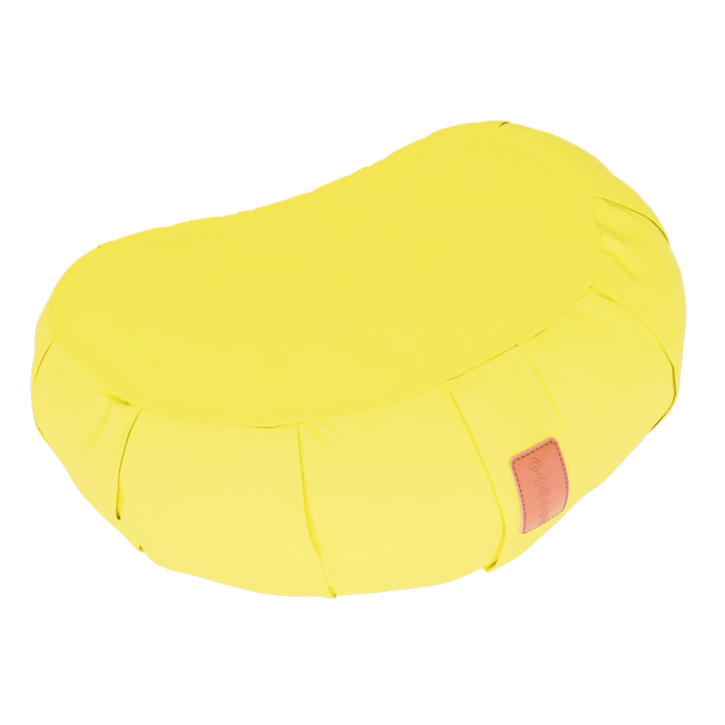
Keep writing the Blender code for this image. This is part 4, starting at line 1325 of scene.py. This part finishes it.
def make_camera():
    """The photograph's camera."""
    azimuth, elevation, roll = (math.radians(v) for v in (VIEW_AZIMUTH, VIEW_ELEVATION, VIEW_ROLL))
    level = math.cos(elevation)
    back = Vector((math.sin(azimuth) * level, -math.cos(azimuth) * level, math.sin(elevation)))
    right = (-back).cross(Vector((0, 0, 1))).normalized()
    up = right.cross(-back)
    rolled_right = right * math.cos(roll) + up * math.sin(roll)
    rolled_up = up * math.cos(roll) - right * math.sin(roll)
    data = bpy.data.cameras.new("view")
    data.sensor_width = SENSOR
    data.lens = FOCAL_PIXELS / FRAME_PIXELS * SENSOR
    camera = put_in_scene("view", data)
    place = Matrix((rolled_right, rolled_up, back)).transposed().to_4x4()
    place.translation = VIEW_TARGET + back * VIEW_DISTANCE
    camera.matrix_world = place
    bpy.context.scene.camera = camera


def make_floor():
    """A wide pale floor that glows a little, so that it stays white."""
    signs = ((-1, -1), (1, -1), (1, 1), (-1, 1))
    corners = [(x * FLOOR_REACH, y * FLOOR_REACH, FLOOR_LEVEL) for x, y in signs]
    mesh = bpy.data.meshes.new("floor")
    mesh.from_pydata(corners, [], [(0, 1, 2, 3)])
    material, nodes, shader = new_material("pale floor")
    nodes.feed(shader, {
        "Base Color": FLOOR_GREY,
        "Roughness": 0.9,
        "Emission Color": PURE_WHITE,
        "Emission Strength": FLOOR_LIGHT,
    })
    mesh.materials.append(material)
    floor = put_in_scene("floor", mesh)


def make_light():
    """A room that is bright round the horizon, dimmer overhead and to the sides, with a softbox in front."""
    world = bpy.data.worlds.new("studio")
    world.use_nodes = True
    nodes = Nodes(world.node_tree)
    place = nodes.add("ShaderNodeTexCoord", {}, "Generated")
    height = nodes.math("MAXIMUM", nodes.axis(place, 2), 0.0)
    climb = nodes.times(height, ZENITH_LIGHT - HORIZON_LIGHT)
    sideways = nodes.times(nodes.axis(place, 0), nodes.axis(place, 0))
    facing = nodes.math("SUBTRACT", 1.0, nodes.times(sideways, SIDES_DIMMER))
    glow = nodes.times(nodes.plus(climb, HORIZON_LIGHT), facing)
    nodes.feed(world.node_tree.nodes["Background"], {"Color": PURE_WHITE, "Strength": glow})
    bpy.context.scene.world = world
    data = bpy.data.lights.new("front softbox", "AREA")
    data.shape = "DISK"
    data.size = SOFTBOX_SIZE
    data.energy = SOFTBOX_WATTS
    light = put_in_scene("front softbox", data)
    light.location = SOFTBOX_PLACE
    light.rotation_mode = "QUATERNION"
    light.rotation_quaternion = (SOFTBOX_AIM - SOFTBOX_PLACE).to_track_quat("-Z", "Y")


def set_tone():
    """Plain display colours, with a photograph's soft shoulder in each channel."""
    view = bpy.context.scene.view_settings
    view.view_transform = "Standard"
    view.look = "None"
    view.use_curve_mapping = True
    mapping = view.curve_mapping
    mapping.white_level = (WHITE, WHITE, WHITE)
    for curve, tones in zip(mapping.curves, TONES):
        for light, shown in tones:
            curve.points.new(light / WHITE, shown)
    mapping.update()


def main():
    """Loads the frame, makes the pieces, the light and the camera."""
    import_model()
    make_camera()
    make_floor()
    make_light()
    set_tone()
    band_cloth = cotton("band_cotton", YELLOW, YELLOW_MOTTLE_AND_SHADE)
    panel_cloth = cotton("panel_cotton", YELLOW, YELLOW_MOTTLE_AND_SHADE)
    hide = leather("tan_leather", TAN, TAN_DEEP, TAN_PALE)
    brown = thread("brown_thread", BROWN)
    band = make_band(band_cloth)
    top = make_top(panel_cloth)
    bottom = make_bottom(panel_cloth)
    flap = make_flap(band_cloth)
    patch = make_patch(hide)
    stitches = make_stitches(brown)
    for piece, node, slot in (
        (band, "pleated_body", "band_cotton"),
        (top, "top_panel", "panel_cotton"),
        (bottom, "bottom_panel", "panel_cotton"),
        (flap, "band_overlap", "band_cotton"),
        (patch, "leather_patch", "tan_leather"),
    ):
        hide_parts(node)


main()
